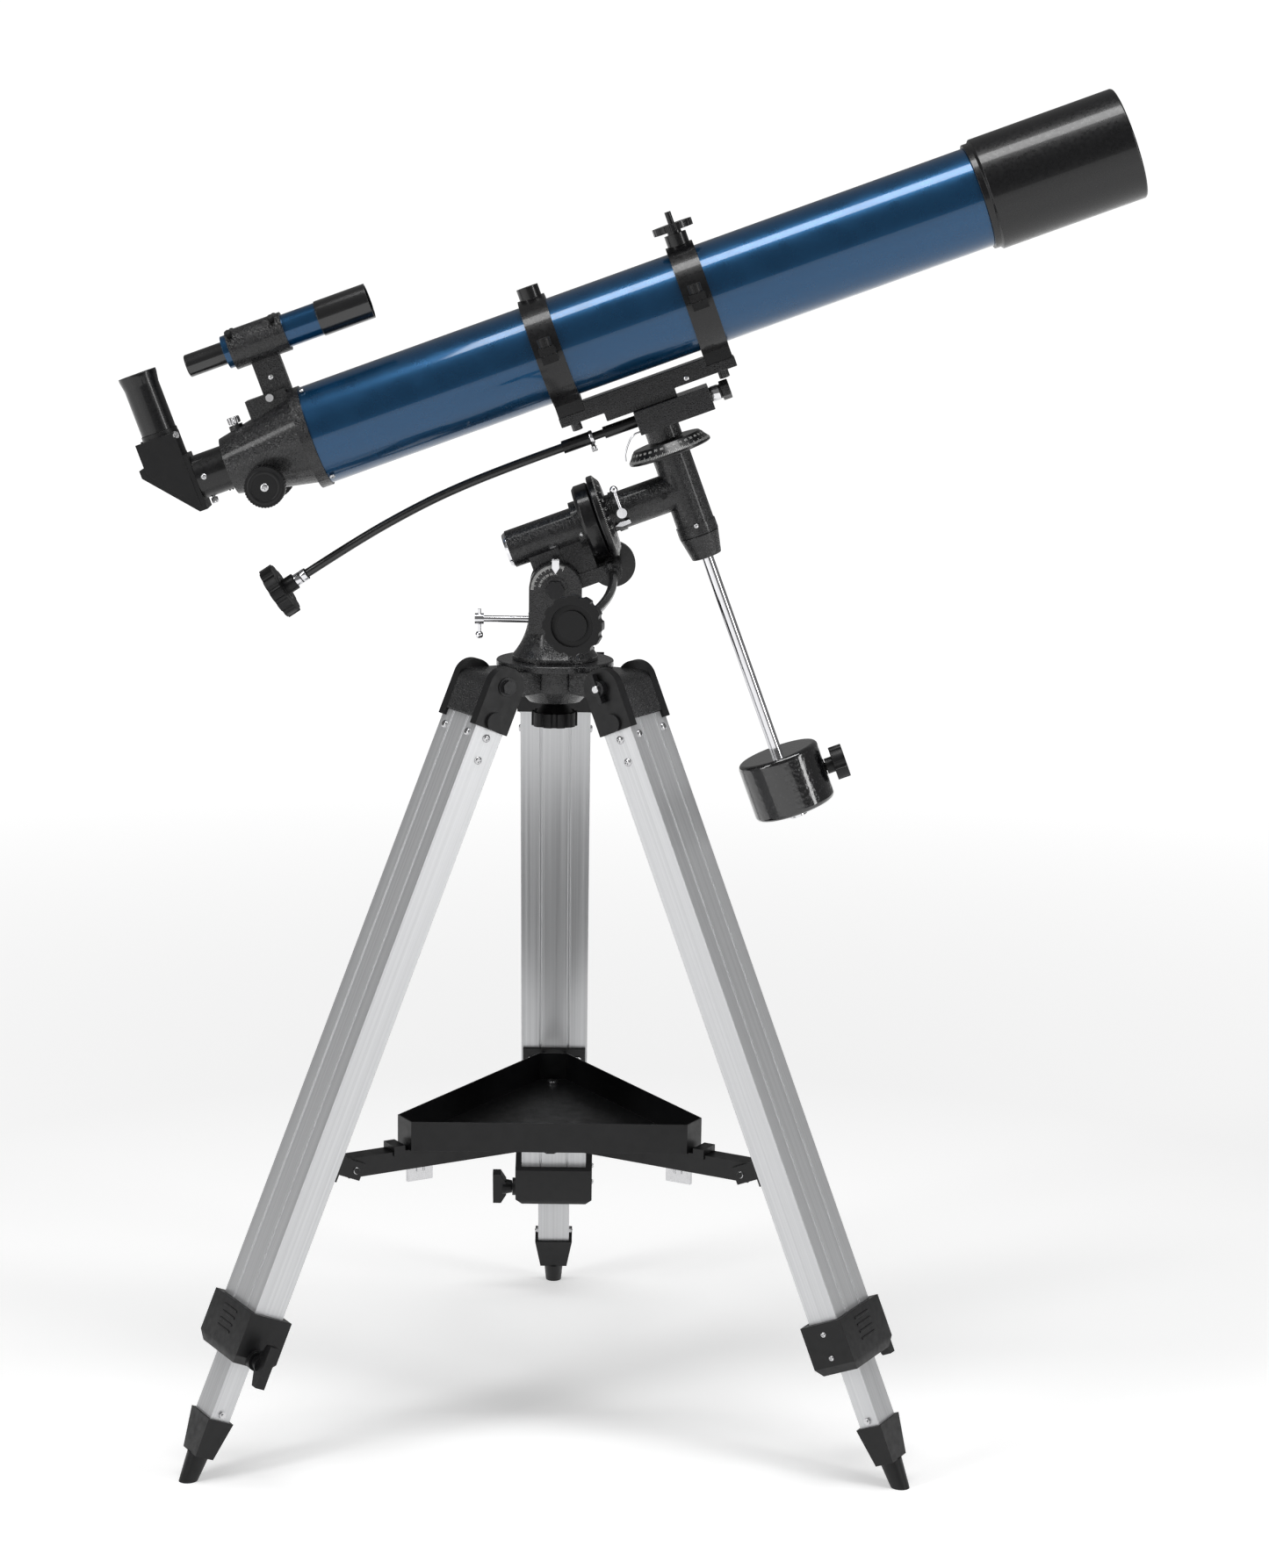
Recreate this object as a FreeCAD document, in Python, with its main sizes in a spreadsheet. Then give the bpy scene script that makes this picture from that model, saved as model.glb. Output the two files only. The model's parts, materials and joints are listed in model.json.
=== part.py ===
import FreeCAD, Part
import Sketcher
import math
import os
import re
from FreeCAD import Placement, Rotation, Vector

# A refractor on a small German equatorial mount and an extruded aluminium tripod.
# Three frames are used, all in millimetres:
#   the stand's frame: Z up from the floor, Z = 0 there, the tripod's axis at X = Y = 0;
#   a leg's frame: origin on its hinge, z up along the leg, y across it, x out of its outer face;
#   the mount's frame: origin where the polar and declination axes cross, x along the polar
#   axis, z along the declination axis, y level.

doc = FreeCAD.newDocument("Telescope")
sheet = doc.addObject("Spreadsheet::Sheet", "Sizes")
nodes = {}

SIZES = {
    # Fits
    "running": 0.06, "loose": 0.3, "gap": 0.4, "skin": 0.5,
    # Tripod geometry: the legs hang from bolts at the hinge height and splay to the foot radius
    "hinge_height": 769, "hinge_radius": 75, "foot_radius": 403, "hinge_bolt": 4,
    "hinge_bolt_head": 7.5, "hinge_head_thick": 6, "wing_span": 15, "wing_tall": 8, "wing_thick": 4,
    # Hub
    "hub_rise": 18, "disc_radius": 58.5, "disc_thick": 7, "bowl_radius": 40, "bowl_drop": 24,
    "arm_width": 54, "arm_under": 11, "arm_round": 15, "arm_root": 8,
    # Legs
    "rail_wide": 72, "rail_deep": 32, "rail_start": 38, "rail_wall": 2,
    "groove_place": 15, "groove_wide": 2.4, "groove_deep": 1.2,
    "bracket_wall": 3, "bracket_end": 45, "bracket_boss": 9, "boss_place": 36, "boss_out": 3.5,
    "inner_wide": 35, "inner_deep": 22, "inner_wall": 2, "inner_overlap": 480, "leg_drawn": 78,
    "collar_over": 36, "collar_under": 16, "collar_wall": 7, "collar_chamfer": 9,
    "collar_boss": 10, "collar_boss_out": 4, "lock_drop": 7,
    "foot_wide": 42, "foot_deep": 28, "foot_tall": 40, "foot_tip": 28, "foot_socket": 20,
    "foot_neck_wide": 30, "foot_neck_deep": 20, "tip_radius": 11, "tip_end_radius": 8,
    "lock_stem": 4, "lock_hub": 9, "lock_hub_long": 7, "lock_wing": 21, "lock_wing_thick": 10,
    "lock_wing_long": 15,
    # Spreader and tray
    "spread_top": 305, "spread_tall": 20, "spread_wide": 20, "spread_wall": 2, "spread_start": 14,
    "spread_reach": 52, "spread_drop": 12, "spread_over": 7, "rivet": 3, "rivet_place": 7,
    "ear_thick": 3, "spreader_plate": 26, "spreader_plate_thick": 2, "spreader_bolt": 4,
    "tray_inner": 96.4, "tray_corner": 166.8, "tray_tall": 30, "tray_wall": 1.2,
    "tray_bolt_radius": 150, "tray_bolt": 3, "tray_clip": 172, "clip_long": 12, "clip_tall": 6,
    # Mount base
    "base_radius": 42.5, "base_flange": 4, "base_neck": 27, "neck_tall": 45, "slot_rise": 28,
    "cheek_inner": 16, "cheek_outer": 28, "cheek_radius": 26, "dial_radius": 25.5,
    "dial_thick": 3, "dial_hub": 12, "dial_hub_thick": 2,
    "pivot_rise": 73, "pivot_bolt": 5, "pivot_head": 9.5, "pivot_head_thick": 6,
    "fixing_screw": 5, "fixing_knob": 23, "fixing_drop": 25,
    "fixing_knob_thick": 14, "fixing_stem": 10, "fixing_notch": 4,
    "push_rise": 39, "push_radius": 3.4, "push_tip": 19, "push_length": 61,
    "push_bar": 2, "push_bar_long": 26, "push_ball": 4, "push_head": 9,
    # Mount frame
    "mount_x": 124.3, "mount_rise": 98.8, "tilt": 20.4,
    # Polar axis
    "housing_radius": 18.8, "polar_start": 181, "polar_flange_radius": 24, "polar_flange": 7,
    "cover_radius": 37.5, "cover_start": 105, "cover_thick": 17, "axle": 10,
    "circle_radius": 42, "circle_thick": 12, "circle_lip": 34, "polar_arm": 76,
    "worm_x": 92, "worm_z": 52, "worm_radius": 5, "worm_boss": 9, "worm_near": 40,
    "worm_far": 33, "worm_disc": 23, "worm_disc_thick": 10,
    "lug_half": 15.5, "barrel_radius": 20,
    "clamp_x": 64, "clamp_radius": 2.5, "clamp_out": 31, "clamp_lever": 24, "clamp_ball": 4,
    # Declination axis
    "dec_top": 36, "dec_bottom": 48, "cone_end": 72, "cone_small": 15, "cone_large": 20,
    "dec_circle_thick": 14, "neck_radius": 17.5, "head_base": 64, "head_top": 87.5,
    "head_left": 21, "head_right": 56, "head_half": 24, "screw_z": 77, "screw_radius": 4,
    "coupling_radius": 6, "coupling_end": 55, "sleeve_start": 66, "sleeve_end": 98,
    "sleeve_radius": 6.5, "thumb_place": 3, "thumb_stem": 2, "thumb_radius": 2.8,
    "thumb_reach": 14, "stub_radius": 7, "stub_long": 11, "stub_hex": 10, "stub_hex_long": 9,
    # Slow-motion cables
    "cable_radius": 4.4, "ferrule": 6, "ferrule_long": 14, "hub_radius": 8.3, "hub_long": 12,
    "cable_knob": 27, "cable_knob_thick": 13, "knob_notch": 4, "knob_rim": 8, "knob_dish": 3,
    # Counterweight
    "weight_shaft": 6, "shaft_end": 350, "weight_radius": 41.7, "weight_top": 282,
    "weight_tall": 60, "weight_round": 5, "weight_screw": 4, "weight_knob": 17,
    "weight_knob_thick": 13, "weight_knob_out": 8, "weight_knob_notch": 5,
    # Saddle and rings
    "bar_base": 96, "bar_step": 106, "bar_top": 114, "bar_half": 15, "bar_left": 92,
    "bar_right": 90, "spacer_left": 48, "spacer_right": 25,
    "ring_stand": 14.8, "tube_radius": 49.2, "tube_wall": 1.5, "ring_wide": 27, "ring_thick": 5.5,
    "ring_rear": -78, "ring_front": 75, "ring_foot": 15, "boss_radius": 11, "boss_rise": 16.8,
    "hinge_reach": 11.8, "knuckle": 5, "hinge_pin": 2.5, "knuckle_half": 5,
    "ear_reach": 19.8, "ear_tall": 8, "ear_half": 8, "ring_screw": 2.5, "ring_screw_knob": 6.5,
    "ring_screw_reach": 13.8, "ring_nut": 5.5, "wheel_radius": 20, "wheel_thick": 7,
    "wheel_rise": 3, "stud": 3.175, "stud_long": 12,
    # Optical tube
    "tube_start": 322, "tube_end": 364, "cell_lip": 3.3, "cell_thick": 8, "shield_lip": 6,
    "shield_end": 518, "shield_wall": 2.2, "lens_inset": 4.2, "lens_thick": 11,
    # Focuser
    "flange_lip": 1.8, "focus_flange_thick": 11, "focus_small": 28.5,
    "focus_rear": 413, "focus_wall": 3, "draw_radius": 22, "draw_wall": 2, "draw_rear": 445,
    "draw_front": 318, "plug_long": 20, "nose_radius": 15.8, "pinion_x": 381,
    "tooth_module": 1, "pinion_teeth": 12, "rack_teeth": 32, "rack_behind": 13,
    "addendum": 0.65, "dedendum": 0.9,
    "rack_half": 4, "pinion_shaft": 3, "pinion_box": 11, "pinion_box_half": 25,
    "focus_knob": 20, "focus_knob_thick": 16,
    "lock_place": 393, "lock_boss": 7, "lock_rise": 36,
    # Star diagonal and eyepiece
    "diag_wide": 50, "diag_under": 31, "diag_over": 26, "diag_half": 19,
    "holder_x": 466, "holder_radius": 18.3, "holder_rise": 55, "barrel_depth": 22,
    "eyepiece_radius": 17.5, "cup_rise": 102, "cup_radius": 19.2, "eyepiece_rise": 115,
    # Finder
    "finder_rise": 105, "finder_rear": 417, "finder_eye": 11.3, "finder_step": 377,
    "finder_tube": 16.4, "finder_front": 279, "finder_shield": 17.6, "finder_end": 227,
    "finder_wall": 1.5, "bracket_ring": 19.5, "bracket_rear": 371, "bracket_front": 314,
    "stem_rear": 356, "stem_front": 328, "stem_half": 7, "shoe_rear": 375, "shoe_front": 333.5,
    "shoe_half": 13, "shoe_rise": 54,
}
# Heights and radii that follow from those sizes
PLACES = {
    "leg_length": "sqrt(hinge_height ^ 2 + (foot_radius - hinge_radius) ^ 2)",
    "lean": "(foot_radius - hinge_radius) / leg_length", "rise": "hinge_height / leg_length",
    "hub_top": "hinge_height + hub_rise", "bowl_base": "hinge_height - bowl_drop",
    "foot_step": "leg_length - foot_tip", "foot_start": "foot_step - foot_tall",
    "rail_end": "foot_start - leg_drawn", "inner_start": "rail_end - inner_overlap",
    "collar_start": "rail_end - collar_over", "collar_end": "rail_end + collar_under",
    "spread_pin": "spread_top - spread_drop",
    "spread_radius": "hinge_radius + (hinge_height - spread_pin) * lean / rise - spread_reach",
    "fixing_base": "bowl_base - fixing_drop", "pivot_height": "hub_top + pivot_rise",
    "push_height": "hub_top + push_rise", "slot_floor": "hub_top + slot_rise",
    "mount_z": "pivot_height + mount_rise", "tube_z": "bar_step + ring_stand + tube_radius",
    "hinge_out": "tube_radius + hinge_reach", "ear_out": "tube_radius + ear_reach",
    "ring_screw_out": "tube_radius + ring_screw_reach",
    "boss_top": "tube_z + tube_radius + boss_rise",
    "wheel_base": "boss_top + wheel_rise", "stud_tip": "wheel_base + wheel_thick + stud_long",
    "cell_radius": "tube_radius + cell_lip", "shield_radius": "tube_radius + shield_lip",
    "lens_radius": "tube_radius - lens_inset", "focus_large": "lens_radius",
    "focus_flange": "tube_radius + flange_lip", "focus_knob_start": "focus_large - 6",
    "pitch_radius": "tooth_module * pinion_teeth / 2",
    "pinion_z": "tube_z - draw_radius - pitch_radius", "lock_top": "tube_z + lock_rise",
    "diag_low": "tube_z - diag_under", "diag_top": "tube_z + diag_over",
    "holder_top": "tube_z + holder_rise", "cup_start": "tube_z + cup_rise",
    "eyepiece_top": "tube_z + eyepiece_rise", "finder_z": "tube_z + finder_rise",
    "shoe_top": "tube_z + shoe_rise",
}
SIDES = {"left": 210, "right": 330, "back": 90}
DEC_CABLE = ((-98, 0, 77), (-148, 0, 77), (-214, 0, 74.5), (-265, 0, 68.5), (-322, 0, 58.5),
             (-378.5, 0, 45.2))
RA_CABLE = ((-92, -66, -52), (-92, -114, -52), (-95, -172, -53), (-102, -231, -53),
            (-111, -288, -51), (-121, -340, -46.5))
FUNCTIONS = ("sin", "cos", "tan", "atan", "sqrt", "min", "max")

for row, (alias, amount) in enumerate(SIZES.items(), start=1):
    sheet.set(f"A{row}", alias)
    sheet.set(f"B{row}", str(amount))
    sheet.setAlias(f"B{row}", alias)
doc.recompute()


# ---------------------------------------------------------------- shared ways of building

def bound(text):
    """An expression over the sheet's cells, from one written with bare names."""
    def prefixed(match):
        word = match.group(0)
        if word in PLACES:
            return f"({bound(PLACES[word])})"
        return word if word in FUNCTIONS else "Sizes." + word
    return re.sub(r"[a-z][a-z_]*", prefixed, str(text))


def number(text):
    """What such an expression comes to."""
    result = sheet.evalExpression(bound(text))
    return float(getattr(result, "Value", result))


def bind(item, **fields):
    for field, text in fields.items():
        item.setExpression(field, bound(text))
    return item


def base_at(item, x, y, z):
    for axis, text in zip("xyz", (x, y, z)):
        item.setExpression(f"Placement.Base.{axis}", bound(text))
    return item


def block(x, y, z):
    """A box between two values along each axis."""
    item = doc.addObject("Part::Box", "Block")
    spans = [f"({high}) - ({low})" for low, high in (x, y, z)]
    bind(item, Length=spans[0], Width=spans[1], Height=spans[2])
    return base_at(item, x[0], y[0], z[0])


TURNS = {"x": Rotation(Vector(0, 1, 0), 90), "y": Rotation(Vector(1, 0, 0), -90), "z": Rotation()}


def along(item, axis, low, x, y, z):
    item.Placement = Placement(Vector(), TURNS[axis])
    place = {"x": x, "y": y, "z": z}
    place[axis] = low
    return base_at(item, place["x"], place["y"], place["z"])


def rod(axis, low, high, radius, x="0", y="0", z="0"):
    """A cylinder along an axis, between two values of it."""
    item = doc.addObject("Part::Cylinder", "Rod")
    bind(item, Radius=radius, Height=f"({high}) - ({low})")
    return along(item, axis, low, x, y, z)


def taper(axis, low, high, radius_low, radius_high, x="0", y="0", z="0"):
    item = doc.addObject("Part::Cone", "Taper")
    bind(item, Radius1=radius_low, Radius2=radius_high, Height=f"({high}) - ({low})")
    return along(item, axis, low, x, y, z)


def hexagon(axis, low, high, radius, x="0", y="0", z="0"):
    item = doc.addObject("Part::Prism", "Hexagon")
    bind(item, Circumradius=radius, Height=f"({high}) - ({low})")
    return along(item, axis, low, x, y, z)


def frustum(low, high, wide_low, wide_high):
    """A four-sided block that changes size between two heights, from (x, y) sizes at each."""
    item = doc.addObject("Part::Wedge", "Frustum")
    bind(item, Ymin="0", Ymax=f"({high}) - ({low})",
         Xmin=f"-({wide_low[0]}) / 2", Xmax=f"({wide_low[0]}) / 2",
         Zmin=f"-({wide_low[1]}) / 2", Zmax=f"({wide_low[1]}) / 2",
         X2min=f"-({wide_high[0]}) / 2", X2max=f"({wide_high[0]}) / 2",
         Z2min=f"-({wide_high[1]}) / 2", Z2max=f"({wide_high[1]}) / 2")
    item.Placement = Placement(Vector(), Rotation(Vector(1, 0, 0), 90))
    return base_at(item, "0", "0", low)


def ball(radius, x, y, z):
    item = doc.addObject("Part::Sphere", "Ball")
    bind(item, Radius=radius)
    return base_at(item, x, y, z)


def joined(*items):
    item = doc.addObject("Part::MultiFuse", "Joined")
    item.Shapes = list(items)
    item.Refine = True
    return item


def without(base, *tools):
    item = doc.addObject("Part::Cut", "Without")
    item.Base = base
    item.Tool = tools[0] if len(tools) == 1 else joined(*tools)
    item.Refine = True
    return item


def common(first, second):
    item = doc.addObject("Part::Common", "Common")
    item.Base = first
    item.Tool = second
    return item


def together(*items):
    item = doc.addObject("Part::Compound", "Together")
    item.Links = list(items)
    return item


def mirrored(low, high):
    """A span along an axis, and the same span on its other side."""
    return ((low, high), (f"-({high})", f"-({low})"))


def placed(item, frame):
    item.Placement = frame
    return item


def node(label, item, frame=Placement()):
    """Names a finished sub-part and puts it in its frame."""
    item.Label = label
    item.Placement = frame
    nodes[label] = item
    return item


def fixed_point(sketch, line, end, x, y):
    """Holds one end of a line at two expressions, or on an axis where one is zero."""
    if x == "0":
        sketch.addConstraint(Sketcher.Constraint("PointOnObject", line, end, -2))
    else:
        made = sketch.addConstraint(Sketcher.Constraint("DistanceX", -1, 1, line, end, number(x)))
        sketch.setExpression(f"Constraints[{made}]", bound(x))
    if y == "0":
        sketch.addConstraint(Sketcher.Constraint("PointOnObject", line, end, -1))
    else:
        made = sketch.addConstraint(Sketcher.Constraint("DistanceY", -1, 1, line, end, number(y)))
        sketch.setExpression(f"Constraints[{made}]", bound(y))


def outlined(body, plane, outline):
    """A closed sketch on one of a body's own planes, with every corner bound to the sheet."""
    sketch = body.newObject("Sketcher::SketchObject", "Outline")
    planes = [item for item in body.Origin.OriginFeatures if item.Role == plane]
    sketch.AttachmentSupport = (planes[0], "")
    sketch.MapMode = "FlatFace"
    corners = [Vector(number(x), number(y), 0) for x, y in outline]
    for index, corner in enumerate(corners):
        follower = corners[(index + 1) % len(corners)]
        sketch.addGeometry(Part.LineSegment(corner, follower), False)
    for index in range(len(corners)):
        follower = (index + 1) % len(corners)
        sketch.addConstraint(Sketcher.Constraint("Coincident", index, 2, follower, 1))
    for index, (x, y) in enumerate(outline):
        fixed_point(sketch, index, 1, x, y)
    return sketch


def turned(*outline):
    """A body turned about its own X axis from corners of (distance along, radius)."""
    body = doc.addObject("PartDesign::Body", "Turned")
    sketch = outlined(body, "XY_Plane", outline)
    turn = body.newObject("PartDesign::Revolution", "Turn")
    turn.Profile = sketch
    turn.ReferenceAxis = (sketch, ["H_Axis"])
    turn.Angle = 360
    return body


def extruded(height, *outline):
    """A body with a straight-sided outline, raised along its own Z."""
    body = doc.addObject("PartDesign::Body", "Extruded")
    pad = body.newObject("PartDesign::Pad", "Pad")
    pad.Profile = outlined(body, "XY_Plane", outline)
    bind(pad, Length=height)
    return body


def rounded(body, radius, wanted):
    """Rounds the edges of a body that the test picks."""
    doc.recompute()
    edges = [f"Edge{i}" for i, edge in enumerate(body.Shape.Edges, start=1) if wanted(edge)]
    solid = body.Tip
    fillet = body.newObject("PartDesign::Fillet", "Round")
    fillet.Base = (solid, edges)
    bind(fillet, Radius=radius)
    return body


def lobed(axis, low, high, radius, notch, lobes, x="0", y="0", z="0"):
    """A hand knob: a disc with round notches all round its rim."""
    centre = {"x": x, "y": y, "z": z}
    across = [name for name in "xyz" if name != axis]
    cuts = []
    for index in range(lobes):
        angle = 360 * (index + 0.5) / lobes
        spot = dict(centre)
        spot[across[0]] = f"({centre[across[0]]}) + ({radius} + {notch} / 2) * cos({angle})"
        spot[across[1]] = f"({centre[across[1]]}) + ({radius} + {notch} / 2) * sin({angle})"
        cuts.append(rod(axis, f"({low}) - 1", f"({high}) + 1", notch, **spot))
    return without(rod(axis, low, high, radius, x, y, z), *cuts)


# ---------------------------------------------------------------- frames
slope = number("atan(lean / rise)")
tilted = Rotation(Vector(0, 1, 0), -number("tilt"))
mount = Placement(Vector(number("mount_x"), 0, number("mount_z")), tilted)
upright = Rotation(Vector(0, 1, 0), -90)


def radial_frame(angle):
    return Placement(Vector(), Rotation(Vector(0, 0, 1), angle))


def leg_frame(angle):
    hinge = Placement(Vector(number("hinge_radius"), 0, number("hinge_height")),
                      Rotation(Vector(0, 1, 0), -slope))
    return radial_frame(angle).multiply(hinge)


def on_mount(x, y, z, turn=Rotation()):
    """A place in the mount's frame, for a body that starts there."""
    return mount.multiply(Placement(Vector(number(x), number(y), number(z)), turn))


# ---------------------------------------------------------------- tripod hub
# Three arms reach out from a bowl under the base disc. Each fills the gap between its leg's two
# bracket plates, and its end turns down in line with the leg's outer face.
def by_hinge(x, z):
    """A point of a leg's frame as (outwards, up) from its hinge."""
    return f"({x}) * rise - ({z}) * lean", f"({x}) * lean + ({z}) * rise"


arm_top = "hub_top - disc_thick - hinge_height"
leg_face = "(rail_deep / 2 + bracket_wall)"
arm_corner = by_hinge(leg_face, f"(({arm_top}) - {leg_face} * lean) / rise")
arm_end = "gap - rail_start"
arms = []
for angle in SIDES.values():
    arm = extruded(
        "arm_width", ("bowl_radius - arm_root - hinge_radius", "-arm_under"),
        by_hinge("-arm_under", "-arm_under"), by_hinge("-arm_under", arm_end),
        by_hinge(leg_face, arm_end), arm_corner,
        ("bowl_radius - arm_root - hinge_radius", arm_top))
    corner = Vector(number(arm_corner[0]), number(arm_corner[1]), 0)
    rounded(arm, "arm_round", lambda edge: len(edge.Vertexes) == 2
            and abs(edge.tangentAt(edge.FirstParameter).z) > 0.99
            and edge.distToShape(Part.Vertex(corner))[0] < 0.01)
    arm.Placement = Placement(
        Vector(number("hinge_radius"), number("arm_width / 2"), number("hinge_height")),
        Rotation(Vector(1, 0, 0), 90))
    bolt_hole = rod("y", "-arm_width", "arm_width", "hinge_bolt + running", x="hinge_radius",
                    z="hinge_height")
    arms.append(placed(without(arm, bolt_hole), radial_frame(angle)))
bowl = placed(turned(
    ("0", "fixing_screw + loose"), ("0", "bowl_radius - 14"),
    ("12", "bowl_radius - 3"), ("22", "bowl_radius"),
    ("hub_top - disc_thick - bowl_base", "bowl_radius"),
    ("hub_top - disc_thick - bowl_base", "disc_radius - 1"),
    ("hub_top - disc_thick - bowl_base + 1", "disc_radius"),
    ("hub_top - bowl_base - 1", "disc_radius"), ("hub_top - bowl_base", "disc_radius - 1"),
    ("hub_top - bowl_base", "fixing_screw + loose"),
), Placement(Vector(0, 0, number("bowl_base")), upright))
node("tripod_hub", joined(bowl, *arms))

# ---------------------------------------------------------------- legs
# Each leg hangs from the hub on a bolt; the inner tube slides in the rail's middle channel.
brackets, collars, bolts = [], [], []
channel_y = ("-inner_wide / 2 - skin", "inner_wide / 2 + skin")
channel_x = ("-inner_deep / 2 - skin", "inner_deep / 2 + skin")
whole_y = ("-rail_wide / 2", "rail_wide / 2")
whole_x = ("-rail_deep / 2", "rail_deep / 2")
covered_x = (f"-{leg_face}", leg_face)
covered = "rail_wide / 2 + bracket_wall"
lock_z = "-rail_end - lock_drop"
for side, angle in SIDES.items():
    frame = leg_frame(angle)
    through = ("-rail_end - 1", "1 - rail_start")
    cells = [block(channel_x, channel_y, through)]
    for span in mirrored("inner_wide / 2 + skin + rail_wall", "rail_wide / 2 - rail_wall"):
        cells.append(block(("rail_wall - rail_deep / 2", "rail_deep / 2 - rail_wall"), span,
                           through))
    for span in mirrored("groove_place - groove_wide / 2", "groove_place + groove_wide / 2"):
        for face in mirrored("rail_deep / 2 - groove_deep", "rail_deep / 2 + 1"):
            cells.append(block(face, span, through))
    rail = block(whole_x, whole_y, ("-rail_end", "-rail_start"))
    node(f"leg_{side}_rail", without(rail, *cells), frame)

    plates = [block((f"-{leg_face}", "-rail_deep / 2"), whole_y,
                    ("-bracket_end", "-boss_place + bracket_boss"))]
    for span in mirrored("arm_width / 2 + gap", covered):
        plates.append(block(covered_x, span, ("-bracket_end", "0")))
        plates.append(rod("y", span[0], span[1], leg_face))
    plates.append(rod("y", f"-({covered}) - boss_out", f"{covered} + boss_out", "bracket_boss",
                      z="-boss_place"))
    inside = [
        block(whole_x, whole_y, ("-bracket_end - bracket_boss", "-rail_start")),
        block(("-rail_deep / 2", "rail_deep"), ("-arm_width / 2 - gap", "arm_width / 2 + gap"),
              ("-bracket_end - 1", "rail_deep")),
        rod("y", "-rail_wide", "rail_wide", "hinge_bolt + running"),
    ]
    brackets.append(placed(without(joined(*plates), *inside), frame))

    nut = f"-({covered}) - wing_tall"
    bolts.append(placed(joined(
        rod("y", f"{nut} - 1", f"{covered} + 1", "hinge_bolt"),
        rod("y", covered, f"{covered} + 1.5", "hinge_bolt_head + 2"),
        hexagon("y", covered, f"{covered} + hinge_head_thick", "hinge_bolt_head"),
        rod("y", nut, f"-({covered})", "hinge_bolt_head"),
        block(("-wing_thick / 2", "wing_thick / 2"), (f"{nut} - 2", f"-({covered}) - 2"),
              ("-wing_span", "wing_span"))), frame))

    outside = "rail_wide / 2 + collar_wall + collar_boss_out"
    clamp = block(("-rail_deep / 2 - collar_wall", "rail_deep / 2 + collar_wall"),
                  ("-rail_wide / 2 - collar_wall", "rail_wide / 2 + collar_wall"),
                  ("collar_chamfer - collar_end", "-collar_start"))
    taper_in = frustum("-collar_end", "collar_chamfer - collar_end",
                       ("rail_deep + collar_wall", "rail_wide"),
                       ("rail_deep + 2 * collar_wall", "rail_wide + 2 * collar_wall"))
    boss = rod("y", "inner_wide / 2 + collar_wall", outside, "collar_boss", z=lock_z)
    seat = block(whole_x, whole_y, ("-rail_end", "1 - collar_start"))
    way = block(channel_x, channel_y, ("-collar_end - 1", "1 - rail_end"))
    stem_hole = rod("y", "0", "rail_wide", "lock_stem + running", z=lock_z)
    collars.append(placed(without(joined(clamp, taper_in, boss), seat, way, stem_hole), frame))

    wing = extruded("lock_wing_thick", ("0", "lock_wing - lock_hub"), ("6", "0"),
                    ("lock_wing_long", "0"), ("lock_wing_long", "2 * lock_wing"),
                    ("6", "2 * lock_wing"), ("0", "lock_wing + lock_hub"))
    wing.Placement = Placement(
        Vector(-number("lock_wing_thick / 2"), number(f"{outside} + lock_hub_long"),
               number(f"{lock_z} - lock_wing")), Rotation(Vector(1, 1, 1), 120))
    node(f"leg_{side}_lock_knob", joined(
        rod("y", "inner_wide / 2 + gap", f"{outside} + lock_hub_long + 2", "lock_stem", z=lock_z),
        taper("y", f"{outside} + gap", f"{outside} + lock_hub_long + 4", "lock_hub - 2",
              "lock_hub", z=lock_z), wing), frame)

    tube_x = ("-inner_deep / 2", "inner_deep / 2")
    tube_y = ("-inner_wide / 2", "inner_wide / 2")
    hollow = block(("inner_wall - inner_deep / 2", "inner_deep / 2 - inner_wall"),
                   ("inner_wall - inner_wide / 2", "inner_wide / 2 - inner_wall"),
                   ("-foot_start - foot_socket - 1", "1 - inner_start"))
    tube_z = ("-foot_start - foot_socket", "-inner_start")
    node(f"leg_{side}_inner_tube", without(block(tube_x, tube_y, tube_z), hollow), frame)

    shoe = frustum("-foot_step", "-foot_start", ("foot_neck_deep", "foot_neck_wide"),
                   ("foot_deep", "foot_wide"))
    tip = taper("z", "-leg_length - 10", "-foot_step", "tip_end_radius", "tip_radius")
    socket = block(tube_x, tube_y, ("-foot_start - foot_socket", "1 - foot_start"))
    floor = together(block(("-900", "900"), ("-900", "900"), ("-100", "0")))
    below = placed(floor, frame.inverse())
    node(f"leg_{side}_foot", without(joined(shoe, tip), socket, below), frame)
node("leg_brackets", together(*brackets))
node("leg_collars", together(*collars))
node("leg_hinge_bolts", together(*bolts))

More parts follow.
